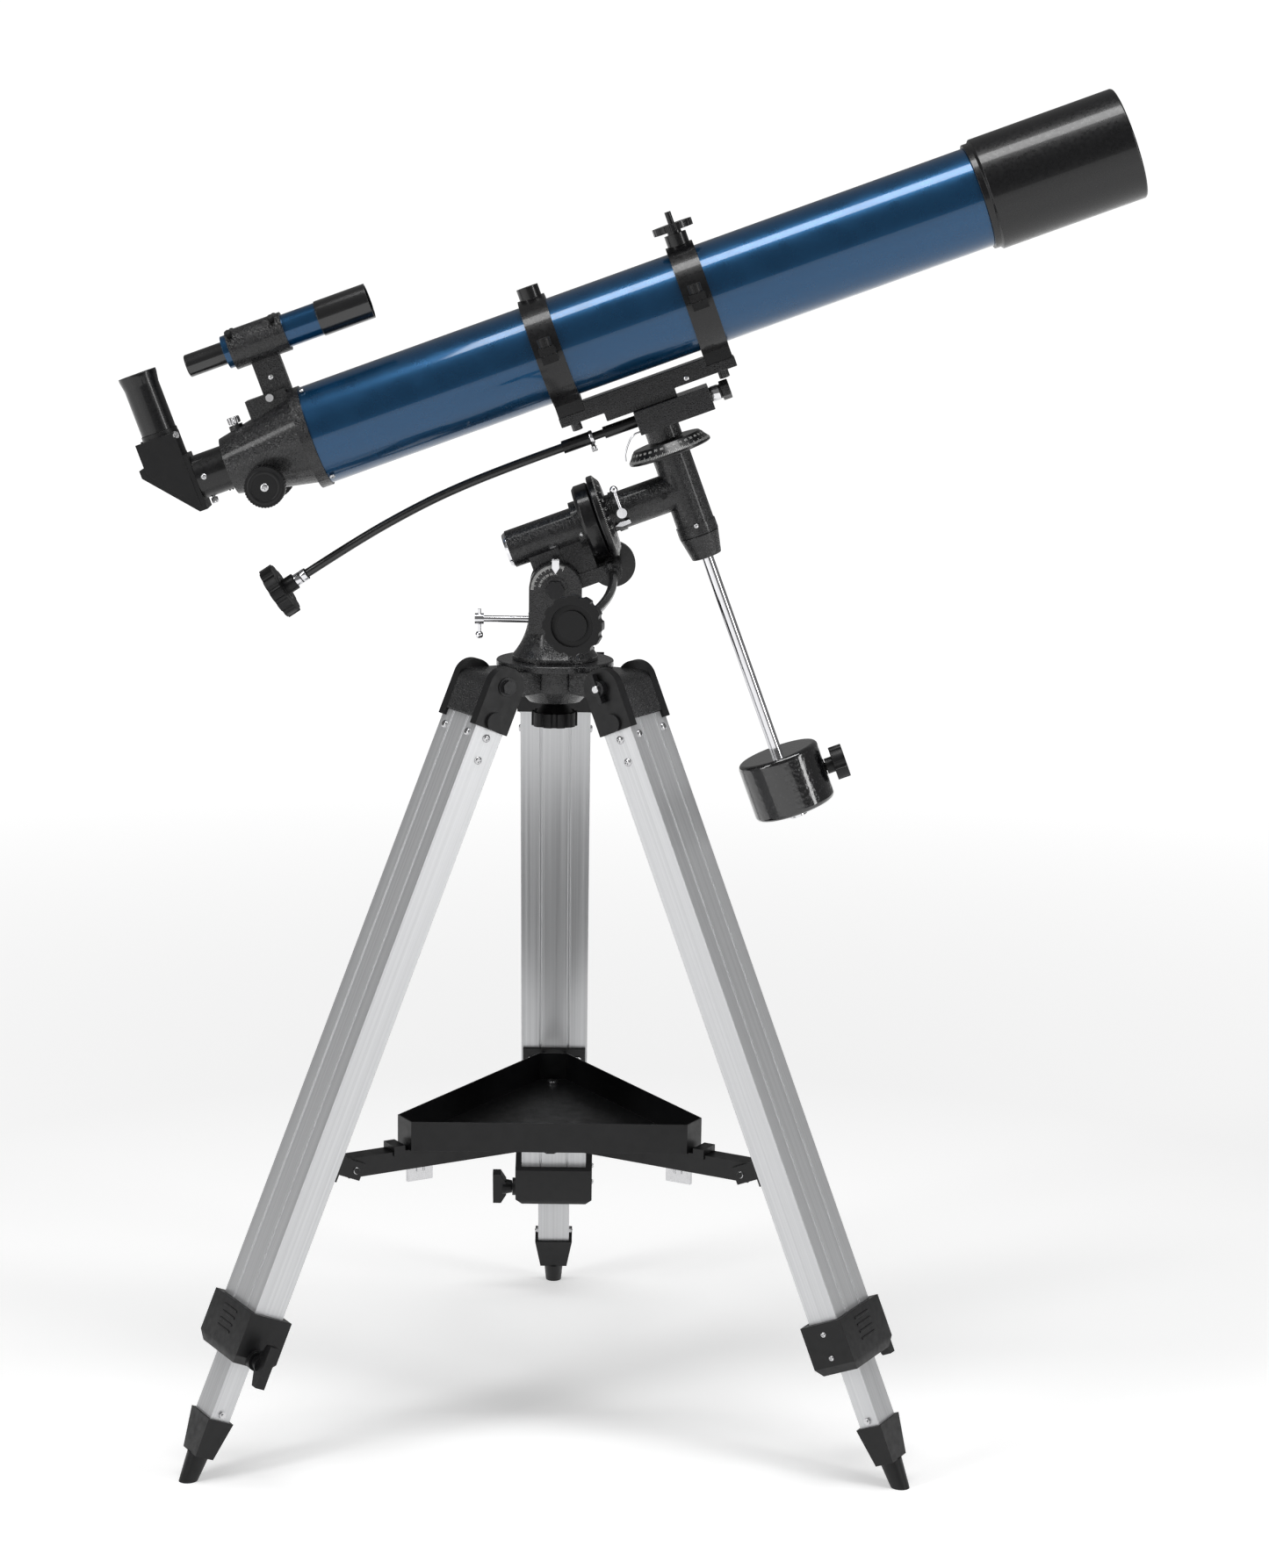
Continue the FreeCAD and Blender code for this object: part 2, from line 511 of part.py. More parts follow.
# ---------------------------------------------------------------- spreader and tray
# Three channels join the legs to a hub plate, and the tray is bolted on top of them.
spreaders, anchors, fasteners = [], [], []
pin_x = "((spread_radius - hinge_radius) * rise + (spread_pin - hinge_height) * lean)"
pin_z = "((spread_pin - hinge_height) * rise - (spread_radius - hinge_radius) * lean)"
for side, angle in SIDES.items():
    channel = joined(
        block(("spread_start", "spread_radius + spread_over"), ("-spread_wide / 2", "spread_wide / 2"),
              ("spread_top - spread_tall", "spread_top")),
        block(("tray_clip", "tray_clip + clip_long"),
              ("-spread_wide / 2 - 2", "spread_wide / 2 + 2"),
              ("spread_top - 4", "spread_top + clip_tall")))
    hollow = block(("spread_start - 1", "spread_radius + spread_over + 1"),
                   ("spread_wall - spread_wide / 2", "spread_wide / 2 - spread_wall"),
                   ("spread_top - spread_tall - 1", "spread_top - spread_wall"))
    holes = [
        rod("z", "spread_top - 10", "spread_top + 10", "tray_bolt + running", x="tray_bolt_radius"),
        rod("z", "spread_top - 10", "spread_top + 1", "rivet + running", x="spread_start + rivet_place"),
        rod("y", "-spread_wide", "spread_wide", "rivet + running", x="spread_radius",
            z="spread_pin"),
    ]
    spreaders.append(placed(without(channel, hollow, *holes), radial_frame(angle)))

    cheek = "spread_wide / 2 + gap"
    sides = [block((f"{pin_x} - rivet_place", "-rail_deep / 2"), span, (f"{pin_z} - 9", f"{pin_z} + 9"))
             for span in ((f"-({cheek}) - ear_thick", f"-({cheek})"),
                          (cheek, f"{cheek} + ear_thick"))]
    plate = block(("-rail_deep / 2 - ear_thick", "-rail_deep / 2"),
                  ("-rail_wide / 2 + 2", "rail_wide / 2 - 2"),
                  (f"{pin_z} - 14", f"{pin_z} + 14"))
    pin = rod("y", f"-({cheek}) - ear_thick - 2", f"{cheek} + ear_thick + 2", "rivet",
              x=pin_x, z=pin_z)
    anchors.append(placed(joined(*sides, plate, pin), leg_frame(angle)))

    floor = "spread_top + tray_wall"
    under = "spread_top - spread_wall"
    screw = joined(
        rod("z", f"{under} - 24", f"{floor} + 1", "tray_bolt", x="tray_bolt_radius"),
        rod("z", floor, f"{floor} + 3", "tray_bolt + 3", x="tray_bolt_radius"))
    wing_nut = joined(
        rod("z", f"{under} - 24", f"{under}", "tray_bolt + 2.5", x="tray_bolt_radius"),
        block(("tray_bolt_radius - 14", "tray_bolt_radius + 14"), ("-2", "2"),
              (f"{under} - 34", f"{under} - 20")))
    fasteners.append(placed(joined(screw, wing_nut), radial_frame(angle)))
node("spreader_arms", together(*spreaders))
node("spreader_brackets", together(*anchors))
node("tray_bolts", together(*fasteners))

lower = "spread_top - spread_tall"
plates = [
    rod("z", f"{lower} - spreader_plate_thick", lower, "spreader_plate"),
    rod("z", "spread_top - spread_tall", "spread_top - spread_wall", "spreader_bolt + 4"),
    rod("z", "spread_top - spread_tall - 8", "spread_top - spread_wall", "spreader_bolt"),
    hexagon("z", "spread_top - spread_tall - 9", "spread_top - spread_tall", "spreader_bolt + 4"),
]
for angle in SIDES.values():
    post = rod("z", "spread_top - spread_tall - 3", "spread_top", "rivet", x="spread_start + rivet_place")
    plates.append(placed(together(post), radial_frame(angle)))
node("spreader_hub", joined(*plates))


def tray_shape(inset, low, high):
    """A triangle with its corners cut off, as two triangles in common."""
    shapes = []
    for reach, turn in (("tray_inner", 90), ("tray_corner", 30)):
        item = doc.addObject("Part::Prism", "Triangle")
        item.Polygon = 3
        bind(item, Circumradius=f"2 * ({reach} - ({inset}))", Height=f"({high}) - ({low})")
        item.Placement = Placement(Vector(), Rotation(Vector(0, 0, 1), turn))
        shapes.append(base_at(item, "0", "0", low))
    return common(*shapes)


tray_holes = []
for angle in SIDES.values():
    hole = rod("z", "spread_top - 5", "spread_top + 5", "tray_bolt + running", x="tray_bolt_radius")
    tray_holes.append(placed(together(hole), radial_frame(angle)))
node("accessory_tray", without(
    tray_shape("0", "spread_top", "spread_top + tray_tall"),
    tray_shape("tray_wall", "spread_top + tray_wall", "spread_top + tray_tall + 1"), *tray_holes))

# ---------------------------------------------------------------- mount base
# The base turns on the hub about the fixing screw; its cheeks carry the altitude pivot.
knob_top = "fixing_base + fixing_knob_thick"
node("mount_fixing_knob", joined(
    lobed("z", "fixing_base", knob_top, "fixing_knob", "fixing_notch", 10),
    taper("z", knob_top, "bowl_base - gap", "fixing_knob - 5", "fixing_stem"),
    rod("z", knob_top, "hub_top + 16", "fixing_screw")))

# The base is flared: a round flange and a hollow curve up to the neck.
flare = number("((base_radius - base_neck) ^ 2 + (neck_tall - base_flange) ^ 2)"
               " / (2 * (base_radius - base_neck))")
hollow_curve = doc.addObject("Part::Torus", "HollowCurve")
bind(hollow_curve, Radius1=f"base_neck + {flare}", Radius2=f"{flare}")
base_at(hollow_curve, "0", "0", "hub_top + gap + neck_tall")
neck = without(rod("z", "hub_top + gap", "hub_top + gap + neck_tall", "base_radius"),
               hollow_curve)
cheeks = joined(
    rod("y", "-cheek_outer", "cheek_outer", "cheek_radius", z="pivot_height"),
    block(("-cheek_radius", "cheek_radius"), ("-cheek_outer", "cheek_outer"),
          ("slot_floor", "pivot_height")))
dial_face = "cheek_outer + dial_thick + dial_hub_thick"
dial = joined(
    rod("y", "-cheek_outer - dial_thick", "-cheek_outer", "dial_radius", z="pivot_height"),
    rod("y", f"-({dial_face})", "-cheek_outer", "dial_hub", z="pivot_height"))
push_foot = "-push_tip - 3"
slots = [
    block((push_foot, "base_radius + 1"), ("-cheek_inner", "cheek_inner"),
          ("slot_floor", "pivot_height + 50")),
    block(("-base_radius", "base_radius"), ("-cheek_inner", "cheek_inner"),
          ("hub_top + neck_tall + 2", "pivot_height + 50")),
    rod("y", "-base_radius", "base_radius", "pivot_bolt + running", z="pivot_height"),
    rod("x", "-base_radius - 5", "0", "push_radius + running", z="push_height"),
    rod("z", "hub_top", "hub_top + 18", "fixing_screw + loose"),
]
node("mount_base", without(joined(neck, cheeks, dial), *slots))

push_end = "-push_tip - push_length"
bar_z = "push_height - 3"
node("altitude_bolt", joined(
    rod("x", push_end, "-push_tip", "push_radius", z="push_height"),
    rod("x", push_end, f"{push_end} + push_head", "push_radius + 2.2", z="push_height"),
    rod("z", f"{bar_z} - push_bar_long / 2", f"{bar_z} + push_bar_long / 2", "push_bar",
        x=f"{push_end} + push_head / 2"),
    ball("push_ball", f"{push_end} + push_head / 2", "0", f"{bar_z} - push_bar_long / 2")))

node("altitude_pivot_bolt", joined(
    rod("y", f"-({dial_face}) - 1", "cheek_outer + 1", "pivot_bolt", z="pivot_height"),
    hexagon("y", f"-({dial_face}) - pivot_head_thick", f"-({dial_face})", "pivot_head",
            z="pivot_height"),
    hexagon("y", "cheek_outer", "cheek_outer + pivot_head_thick", "pivot_head",
            z="pivot_height")))

# ---------------------------------------------------------------- polar axis
pivot = mount.inverse().multVec(Vector(0, 0, number("pivot_height")))
pivot_x, pivot_z = f"{pivot.x}", f"{pivot.z}"
housing = joined(
    rod("x", "-polar_start", "-cover_start - gap", "housing_radius"),
    rod("x", "-cover_start - gap - polar_flange", "-cover_start - gap", "polar_flange_radius"),
    rod("y", "-lug_half", "lug_half", "barrel_radius", x=pivot_x, z=pivot_z),
    block((f"{pivot_x} - 15", f"{pivot_x} + 16"), ("-lug_half + 2", "lug_half - 2"),
          (pivot_z, "-8")),
    block((f"{pivot_x} + 5", "-worm_x - 2"), ("-lug_half + 2", "lug_half - 2"),
          ("-worm_z - 7", "-worm_z + 7")),
    block((f"{pivot_x} + 5", "-cover_start - gap"), ("-lug_half + 4", "lug_half - 4"),
          ("-worm_z", "-8")),
    rod("y", "-worm_near", "worm_far", "worm_boss", x="-worm_x", z="-worm_z"))
node("ra_housing", without(
    housing,
    rod("x", "-polar_start - 1", "-cover_start + 1", "axle + running"),
    rod("y", "-lug_half - 5", "lug_half + 5", "pivot_bolt + running", x=pivot_x, z=pivot_z),
    rod("y", "-worm_near - 1", "worm_far + 1", "worm_radius + running", x="-worm_x",
        z="-worm_z")), mount)

node("ra_gear_cover", turned(
    ("0", "axle + loose"), ("0", "cover_radius - 3"), ("3", "cover_radius"),
    ("cover_thick - 2", "cover_radius"), ("cover_thick", "cover_radius - 2"),
    ("cover_thick", "axle + loose")), on_mount("-cover_start", "0", "0"))

circle_low = "-cover_start + cover_thick + gap"
node("ra_circle", turned(
    ("0", "axle + running"), ("0", "circle_radius - 1"), ("1", "circle_radius"),
    ("circle_thick / 2", "circle_radius"), ("circle_thick - 2 * gap", "circle_lip"),
    ("circle_thick - 2 * gap", "housing_radius + 3"), ("circle_thick / 2", "housing_radius + 3"),
    ("circle_thick / 2", "axle + running")), on_mount(circle_low, "0", "0"))

node("ra_shaft", turned(
    ("0", "0"), ("0", "housing_radius - 3"), ("4 - gap", "housing_radius - 1"),
    ("4 - gap", "axle"), ("polar_start + 4 - polar_arm + 30", "axle"),
    ("polar_start + 4 - polar_arm + 30", "0")), on_mount("-polar_start - 4", "0", "0"))

node("ra_worm", joined(
    rod("y", "-worm_near - 26", "worm_far + gap + worm_disc_thick", "worm_radius", x="-worm_x",
        z="-worm_z"),
    rod("y", "-worm_near - 26", "-worm_near - 4", "sleeve_radius", x="-worm_x", z="-worm_z"),
    rod("z", "-worm_z", "thumb_reach - 2 - worm_z", "thumb_stem", x="-worm_x",
        y="-worm_near - 14"),
    rod("y", "worm_far + gap", "worm_far + gap + worm_disc_thick", "worm_disc", x="-worm_x",
        z="-worm_z")), mount)

node("ra_clamp_lever", joined(
    rod("y", "-clamp_out", "-housing_radius + 5", "clamp_radius", x="-clamp_x"),
    rod("y", "-clamp_out - 4", "-clamp_out + 3", "clamp_radius + 2.5", x="-clamp_x"),
    rod("z", "0", "clamp_lever", "clamp_radius - 0.5", x="-clamp_x", y="-clamp_out"),
    ball("clamp_ball", "-clamp_x", "-clamp_out", "clamp_lever")), mount)

# ---------------------------------------------------------------- declination axis
tee = joined(
    rod("x", "-polar_arm", "0", "housing_radius"),
    rod("x", "-polar_arm + 4", "-polar_arm + 12", "housing_radius + 1.5"),
    rod("z", "-dec_bottom", "dec_top", "housing_radius + 0.4"),
    rod("z", "-dec_bottom", "-dec_bottom + 11", "housing_radius + 1.4"),
    rod("y", "-housing_radius - 5", "0", "clamp_radius + 4", x="-clamp_x"))
node("dec_housing", without(
    tee,
    rod("x", "-polar_arm - 1", "30 - polar_arm", "axle"),
    rod("z", "-dec_bottom - 1", "dec_top + 1", "axle + running"),
    rod("y", "-60", "-housing_radius + 5", "clamp_radius + running", x="-clamp_x")), mount)

node("dec_circle", turned(
    ("0", "axle + running"), ("0", "circle_radius - 1"), ("1", "circle_radius"),
    ("3", "circle_radius"), ("dec_circle_thick - 2 * gap", "circle_lip"),
    ("dec_circle_thick - 2 * gap", "axle + running")), on_mount("0", "0", "dec_top + gap", upright))

node("dec_shaft", turned(
    ("0", "0"), ("0", "cone_small"), ("cone_end - dec_bottom - gap", "cone_large"),
    ("cone_end - dec_bottom - gap", "axle"), ("cone_end + head_base", "axle"),
    ("cone_end + head_base", "0")), on_mount("0", "0", "-cone_end", upright))

head = joined(
    rod("z", "dec_top + dec_circle_thick + gap", "head_base", "neck_radius"),
    block(("-head_left", "head_right"), ("-head_half", "head_half"), ("head_base", "head_top")),
    rod("x", "head_right", "head_right + stub_long", "stub_radius", z="screw_z"),
    hexagon("x", "head_right + stub_long", "head_right + stub_long + stub_hex_long", "stub_hex",
            z="screw_z"))
node("dec_head", without(
    head,
    rod("z", "dec_top", "head_base", "axle"),
    rod("x", "-head_left - 1", "head_right - 8", "screw_radius + running", z="screw_z")), mount)

node("dec_tangent_screw", joined(
    rod("x", "-sleeve_end", "head_right - 10", "screw_radius", z="screw_z"),
    rod("x", "-coupling_end", "-head_left - gap", "coupling_radius", z="screw_z"),
    rod("x", "-sleeve_end", "-sleeve_start", "sleeve_radius", z="screw_z"),
    rod("z", "screw_z - thumb_reach", "screw_z", "thumb_stem", x="-sleeve_start - thumb_place"),
    rod("z", "screw_z - thumb_reach", "screw_z - thumb_reach + 4", "thumb_radius",
        x="-sleeve_start - thumb_place")), mount)


# ---------------------------------------------------------------- slow-motion cables
# Each cable runs from its sleeve to a hand knob: straight runs joined by tangent arcs.
def cable(label, route, radius):
    points = [Vector(*point) for point in route]
    edges = []
    start = points[0]
    length = 0
    for before, corner, after in zip(points, points[1:], points[2:]):
        arriving = (corner - before).normalize()
        leaving = (after - corner).normalize()
        turn = arriving.getAngle(leaving)
        run = 0.45 * min(before.distanceToPoint(corner), corner.distanceToPoint(after))
        bend = run / math.tan(turn / 2)
        print(f"{label}: radius {bend:.0f} mm")
        enter = corner - arriving * run
        leave = corner + leaving * run
        inward = (leaving - arriving).normalize()
        middle = corner + inward * (bend / math.cos(turn / 2) - bend)
        edges.append(Part.LineSegment(start, enter).toShape())
        edges.append(Part.Arc(enter, middle, leave).toShape())
        length += start.distanceToPoint(enter) + bend * turn
        start = leave
    edges.append(Part.LineSegment(start, points[-1]).toShape())
    length += start.distanceToPoint(points[-1])
    first = (points[1] - points[0]).normalize()
    section = Part.Wire([Part.Circle(points[0], first, radius).toShape()])
    tube = Part.Wire(edges).makePipeShell([section], True, True)
    print(f"{label}: length {length:.0f} mm, volume ratio "
          f"{tube.Volume / (math.pi * radius ** 2 * length):.4f}")
    item = doc.addObject("Part::Feature", "Cable")
    item.Shape = tube
    node(label, item, mount)


def cable_knob(label, route):
    """A silver ferrule, a hub and a lobed knob, in line with the cable's end."""
    end = Vector(*route[-1])
    outward = (end - Vector(*route[-2])).normalize()
    frame = mount.multiply(Placement(end, Rotation(Vector(0, 0, 1), outward)))
    hub_end = "ferrule_long + hub_long"
    rim = f"{hub_end} + cable_knob_thick"
    knob = without(
        joined(
            rod("z", "0", "ferrule_long", "ferrule"),
            rod("z", "ferrule_long", f"{rim} - 2", "hub_radius"),
            lobed("z", hub_end, rim, "cable_knob", "knob_notch", 12)),
        rod("z", f"{rim} - knob_dish", f"{rim} + 1", "cable_knob - knob_rim"))
    node(label, joined(
        knob,
        rod("z", f"{rim} - knob_dish - 1", f"{rim} - 1", "cable_knob / 2")), frame)


cable("dec_cable", DEC_CABLE, number("cable_radius"))
cable("ra_cable", RA_CABLE, number("cable_radius"))
cable_knob("dec_cable_knob", DEC_CABLE)
cable_knob("ra_cable_knob", RA_CABLE)

# ---------------------------------------------------------------- counterweight
node("counterweight_shaft", turned(
    ("0", "0"), ("0", "weight_shaft + 3"), ("6", "weight_shaft + 3"), ("6", "weight_shaft"),
    ("shaft_end - cone_end", "weight_shaft"), ("shaft_end - cone_end", "0"),
), on_mount("0", "0", "-shaft_end", upright))
weight = turned(
    ("0", "weight_shaft + running"), ("0", "weight_radius"), ("weight_tall", "weight_radius"),
    ("weight_tall", "weight_shaft + running"))
rounded(weight, "weight_round", lambda edge: isinstance(edge.Curve, Part.Circle)
        and edge.Curve.Radius > number("weight_radius - 1"))
weight.Placement = Placement(Vector(0, 0, -number("weight_top + weight_tall")), upright)
mid = "-weight_top - weight_tall / 2"
node("counterweight", without(
    weight, rod("x", "weight_shaft", "weight_radius + 1", "weight_screw + running", z=mid)), mount)
out = "weight_radius + weight_knob_out"
node("counterweight_knob", joined(
    rod("x", "weight_shaft + gap", out, "weight_screw", z=mid),
    rod("x", "weight_radius + gap", out, "weight_screw + 4", z=mid),
    lobed("x", out, f"{out} + weight_knob_thick", "weight_knob", "weight_knob_notch", 5, z=mid)), mount)

# ---------------------------------------------------------------- saddle bar and tube rings
bar = joined(
    block(("-bar_left", "bar_right"), ("-bar_half", "bar_half"), ("bar_base", "bar_step")),
    block(("ring_rear + ring_wide / 2", "ring_front - ring_wide / 2"), ("-bar_half", "bar_half"),
          ("bar_step", "bar_top")),
    block(("-spacer_left", "spacer_right"), ("-bar_half", "bar_half"), ("head_top", "bar_base")),
    *[hexagon("z", "head_top + 0.5", "bar_base", "ring_nut", x=place)
      for place in ("ring_rear", "ring_front")])
node("saddle_bar", bar, mount)

ring_out = "tube_radius + gap + ring_thick"
for name, place in (("rear", "ring_rear"), ("front", "ring_front")):
    span = (f"{place} - ring_wide / 2", f"{place} + ring_wide / 2")
    band = without(
        rod("x", span[0], span[1], ring_out, z="tube_z"),
        rod("x", f"{span[0]} - 1", f"{span[1]} + 1", "tube_radius + gap", z="tube_z"))
    lower_half = block(span, ("-100", "100"), ("0", "tube_z"))
    upper_half = block(span, ("-100", "100"), ("tube_z + gap", "tube_z + 100"))
    foot = without(
        block(span, ("-ring_foot", "ring_foot"), ("bar_step", f"tube_z - tube_radius + 2")),
        rod("x", f"{span[0]} - 1", f"{span[1]} + 1", "tube_radius + gap", z="tube_z"))
    screw_hole = rod("z", "tube_z - ear_tall - 1", "tube_z + ear_tall + 1", "ring_screw + loose",
                     x=place, y="-ring_screw_out")
    low_ear = block((f"{place} - ear_half", f"{place} + ear_half"),
                    ("-ear_out", "2 - tube_radius - ring_thick"), ("tube_z - ear_tall", "tube_z"))
    high_ear = block((f"{place} - ear_half", f"{place} + ear_half"),
                     ("-ear_out", "2 - tube_radius - ring_thick"),
                     ("tube_z + gap", "tube_z + ear_tall"))
    middle = (f"{place} - knuckle_half + gap", f"{place} + knuckle_half - gap")
    outer_knuckles = [(span[0], f"{place} - knuckle_half"), (f"{place} + knuckle_half", span[1])]
    pin_room = rod("x", f"{span[0]} - 1", f"{span[1]} + 1", "hinge_pin + running", y="hinge_out",
                   z="tube_z")
    base_knuckles = [rod("x", low, high, "knuckle", y="hinge_out", z="tube_z")
                     for low, high in outer_knuckles]
    base_webs = [block(pair, ("tube_radius + gap + 2", "hinge_out"),
                       ("tube_z - knuckle", "tube_z - 1")) for pair in outer_knuckles]
    cap_web = block(middle, ("tube_radius + gap + 2", "hinge_out"),
                    ("tube_z + 1", "tube_z + knuckle"))
    cap_knuckle = rod("x", middle[0], middle[1], "knuckle", y="hinge_out", z="tube_z")
    tube_way = rod("x", f"{span[0]} - 1", f"{span[1]} + 1", "tube_radius + gap", z="tube_z")
    knuckle_room = rod("x", f"{place} - knuckle_half", f"{place} + knuckle_half", "knuckle + gap",
                       y="hinge_out", z="tube_z")
    cap_room = [rod("x", low, high, "knuckle + gap", y="hinge_out", z="tube_z")
                for low, high in ((f"{span[0]} - 1", f"{place} - knuckle_half + gap"),
                                  (f"{place} + knuckle_half - gap", f"{span[1]} + 1"))]
    hinge_pin = rod("x", span[0], span[1], "hinge_pin", y="hinge_out", z="tube_z")
    ring_base = without(joined(common(band, lower_half), foot, low_ear, *base_knuckles,
                               *base_webs), screw_hole, pin_room, tube_way, knuckle_room)
    node(f"ring_{name}_base", together(ring_base, hinge_pin), mount)

    boss = rod("z", f"tube_z + tube_radius", "boss_top", "boss_radius", x=place)
    ring_cap = without(joined(common(band, upper_half), high_ear, boss, cap_web, cap_knuckle),
                       screw_hole, pin_room, tube_way, *cap_room)
    if name == "front":
        stud = joined(
            rod("z", "boss_top", "stud_tip", "stud", x=place),
            lobed("z", "wheel_base", "wheel_base + wheel_thick", "wheel_radius", 1.5, 24,
                  x=place),
            rod("z", "boss_top", "wheel_base", "boss_radius - 4", x=place))
        ring_cap = joined(ring_cap, stud)
    node(f"ring_{name}_cap", ring_cap, mount)
    node(f"ring_{name}_screw", joined(
        rod("z", "tube_z - 5", "tube_z + ear_tall + 6", "ring_screw", x=place,
            y="-ring_screw_out"),
        lobed("z", "tube_z + ear_tall + gap", "tube_z + ear_tall + 9", "ring_screw_knob", 1, 12,
              x=place, y="-ring_screw_out")), mount)

# ---------------------------------------------------------------- optical tube
node("main_tube", turned(
    ("0", "tube_radius - tube_wall"), ("0", "tube_radius"),
    ("tube_start + tube_end", "tube_radius"),
    ("tube_start + tube_end", "tube_radius - tube_wall")), on_mount("-tube_start", "0", "tube_z"))
shield_start = "cell_thick + 1"
shield_floor = "cell_thick + lens_thick + 2"
node("dew_shield", turned(
    ("0", "lens_radius - 2"), ("0", "cell_radius"), ("cell_thick - 2", "cell_radius"),
    ("cell_thick", "shield_radius"), ("shield_end - tube_end - 1.5", "shield_radius"),
    ("shield_end - tube_end", "shield_radius - 1"),
    ("shield_end - tube_end", "shield_radius - shield_wall"),
    (shield_floor, "shield_radius - shield_wall"),
    (shield_floor, "lens_radius"), (shield_start, "lens_radius"),
    (shield_start, "lens_radius - 2")), on_mount("tube_end", "0", "tube_z"))
node("objective_lens", turned(
    ("0", "0"), ("0", "lens_radius - 12"), ("1.5", "lens_radius"), ("lens_thick - 3", "lens_radius"),
    ("lens_thick - 1", "lens_radius - 14"), ("lens_thick", "0")),
    on_mount(f"tube_end + {shield_start}", "0", "tube_z"))

# ---------------------------------------------------------------- focuser
taper_long = "focus_rear - tube_start - focus_flange_thick"
shell = placed(turned(
    ("0", "draw_radius + running"), ("0", "focus_small"), (taper_long, "focus_large"),
    (taper_long, "focus_flange"), ("focus_rear - tube_start", "focus_flange"),
    ("focus_rear - tube_start", "tube_radius - tube_wall"),
    ("focus_rear - tube_start + 12", "tube_radius - tube_wall"),
    ("focus_rear - tube_start + 12", "tube_radius - tube_wall - focus_wall"),
    (taper_long, "focus_large - focus_wall"), ("14", "focus_small - focus_wall + 2"),
    ("14", "draw_radius + running")),
    Placement(Vector(-number("focus_rear"), 0, number("tube_z")), Rotation()))
gearbox = rod("y", "-pinion_box_half", "pinion_box_half", "pinion_box", x="-pinion_x",
              z="pinion_z")
lock = rod("z", "tube_z + draw_radius + 2", "lock_top", "lock_boss", x="-lock_place")
inside = [
    rod("x", "-focus_rear - 1", "-tube_start", "draw_radius + running", z="tube_z"),
    block(("-focus_rear - 1", "-tube_start"), ("-rack_half - gap", "rack_half + gap"),
          ("tube_z - draw_radius - 1.5", "tube_z")),
    rod("y", "-rack_half - 2", "rack_half + 2", "pinion_box - 3", x="-pinion_x", z="pinion_z"),
    rod("y", "-focus_knob_start", "focus_knob_start", "pinion_shaft + running", x="-pinion_x",
        z="pinion_z"),
]
node("focuser_body", without(joined(shell, gearbox, lock), *inside), mount)

# The rack is let into the underside of the drawtube, with a gap over the pinion at rest.
pitch = math.pi * number("tooth_module")
pitch_line = "pinion_z + pitch_radius"


def tooth(root, tip, wide, narrow):
    """A straight-sided tooth across y, from one height to another, centred on x = 0."""
    item = doc.addObject("Part::Wedge", "Tooth")
    bind(item, Xmin=f"-({wide}) / 2", Xmax=f"({wide}) / 2", X2min=f"-({narrow}) / 2",
         X2max=f"({narrow}) / 2", Ymin="0", Ymax=f"({tip}) - ({root})", Zmin="0",
         Zmax="2 * rack_half", Z2min="0", Z2max="2 * rack_half")
    item.Placement = Placement(Vector(), Rotation(Vector(1, 0, 0), 90))
    return item


rack_root = f"{pitch_line} + dedendum"
rack = [block(("-draw_rear + plug_long + 2", "-draw_front"), ("-rack_half", "rack_half"),
              (rack_root, "tube_z - draw_radius + draw_wall + 1.5"))]
for index in range(int(number("rack_teeth"))):
    steps = index - number("rack_behind") + 0.5
    cog = tooth("0", "addendum + dedendum + 0.4", "2.1", "0.9")
    flipped = Placement(Vector(), Rotation(Vector(1, 0, 0), 180))
    cog.Placement = flipped.multiply(cog.Placement)
    rack.append(base_at(cog, f"{steps * pitch} - pinion_x", "-rack_half", f"{rack_root} + 0.4"))
pipe = without(
    rod("x", "-draw_rear", "-draw_front", "draw_radius", z="tube_z"),
    rod("x", "-draw_rear + plug_long", "1 - draw_front", "draw_radius - draw_wall", z="tube_z"),
    rod("x", "-draw_rear - 1", "1 - draw_front", "nose_radius + running", z="tube_z"),
    block(("-draw_rear + plug_long + 2", "1 - draw_front"), ("-rack_half - 1", "rack_half + 1"),
          ("tube_z - draw_radius - 5", "tube_z - draw_radius + draw_wall + 0.2")))
shelf = block(("-draw_rear + plug_long + 2", "-draw_front"), ("-rack_half - 3", "rack_half + 3"),
              ("tube_z - draw_radius + draw_wall - 0.2", "tube_z - draw_radius + draw_wall + 1.5"))
node("drawtube", joined(pipe, shelf, *rack), mount)

pinion = [rod("y", "-rack_half", "rack_half", "tooth_module * 5.1")]
for index in range(int(number("pinion_teeth"))):
    spoke = Placement(Vector(), Rotation(Vector(0, 1, 0), 360 * index / number("pinion_teeth")))
    cog = tooth("0", "pitch_radius + addendum - 4.6", "1.5", "0.83")
    base_at(cog, "0", "rack_half", "4.6")
    pinion.append(placed(together(cog), spoke))
gear = placed(joined(*pinion), Placement(
    Vector(-number("pinion_x"), 0, number("pinion_z")), Rotation()))
knobs = []
for sign in (1, -1):
    low, high = "focus_knob_start", "focus_knob_start + focus_knob_thick"
    span = (low, high) if sign > 0 else (f"-({high})", f"-({low})")
    knobs.append(lobed("y", span[0], span[1], "focus_knob", 1, 40, x="-pinion_x", z="pinion_z"))
node("focus_pinion", joined(
    gear, rod("y", "-focus_knob_start - 1", "focus_knob_start + 1", "pinion_shaft", x="-pinion_x",
              z="pinion_z"), *knobs), mount)

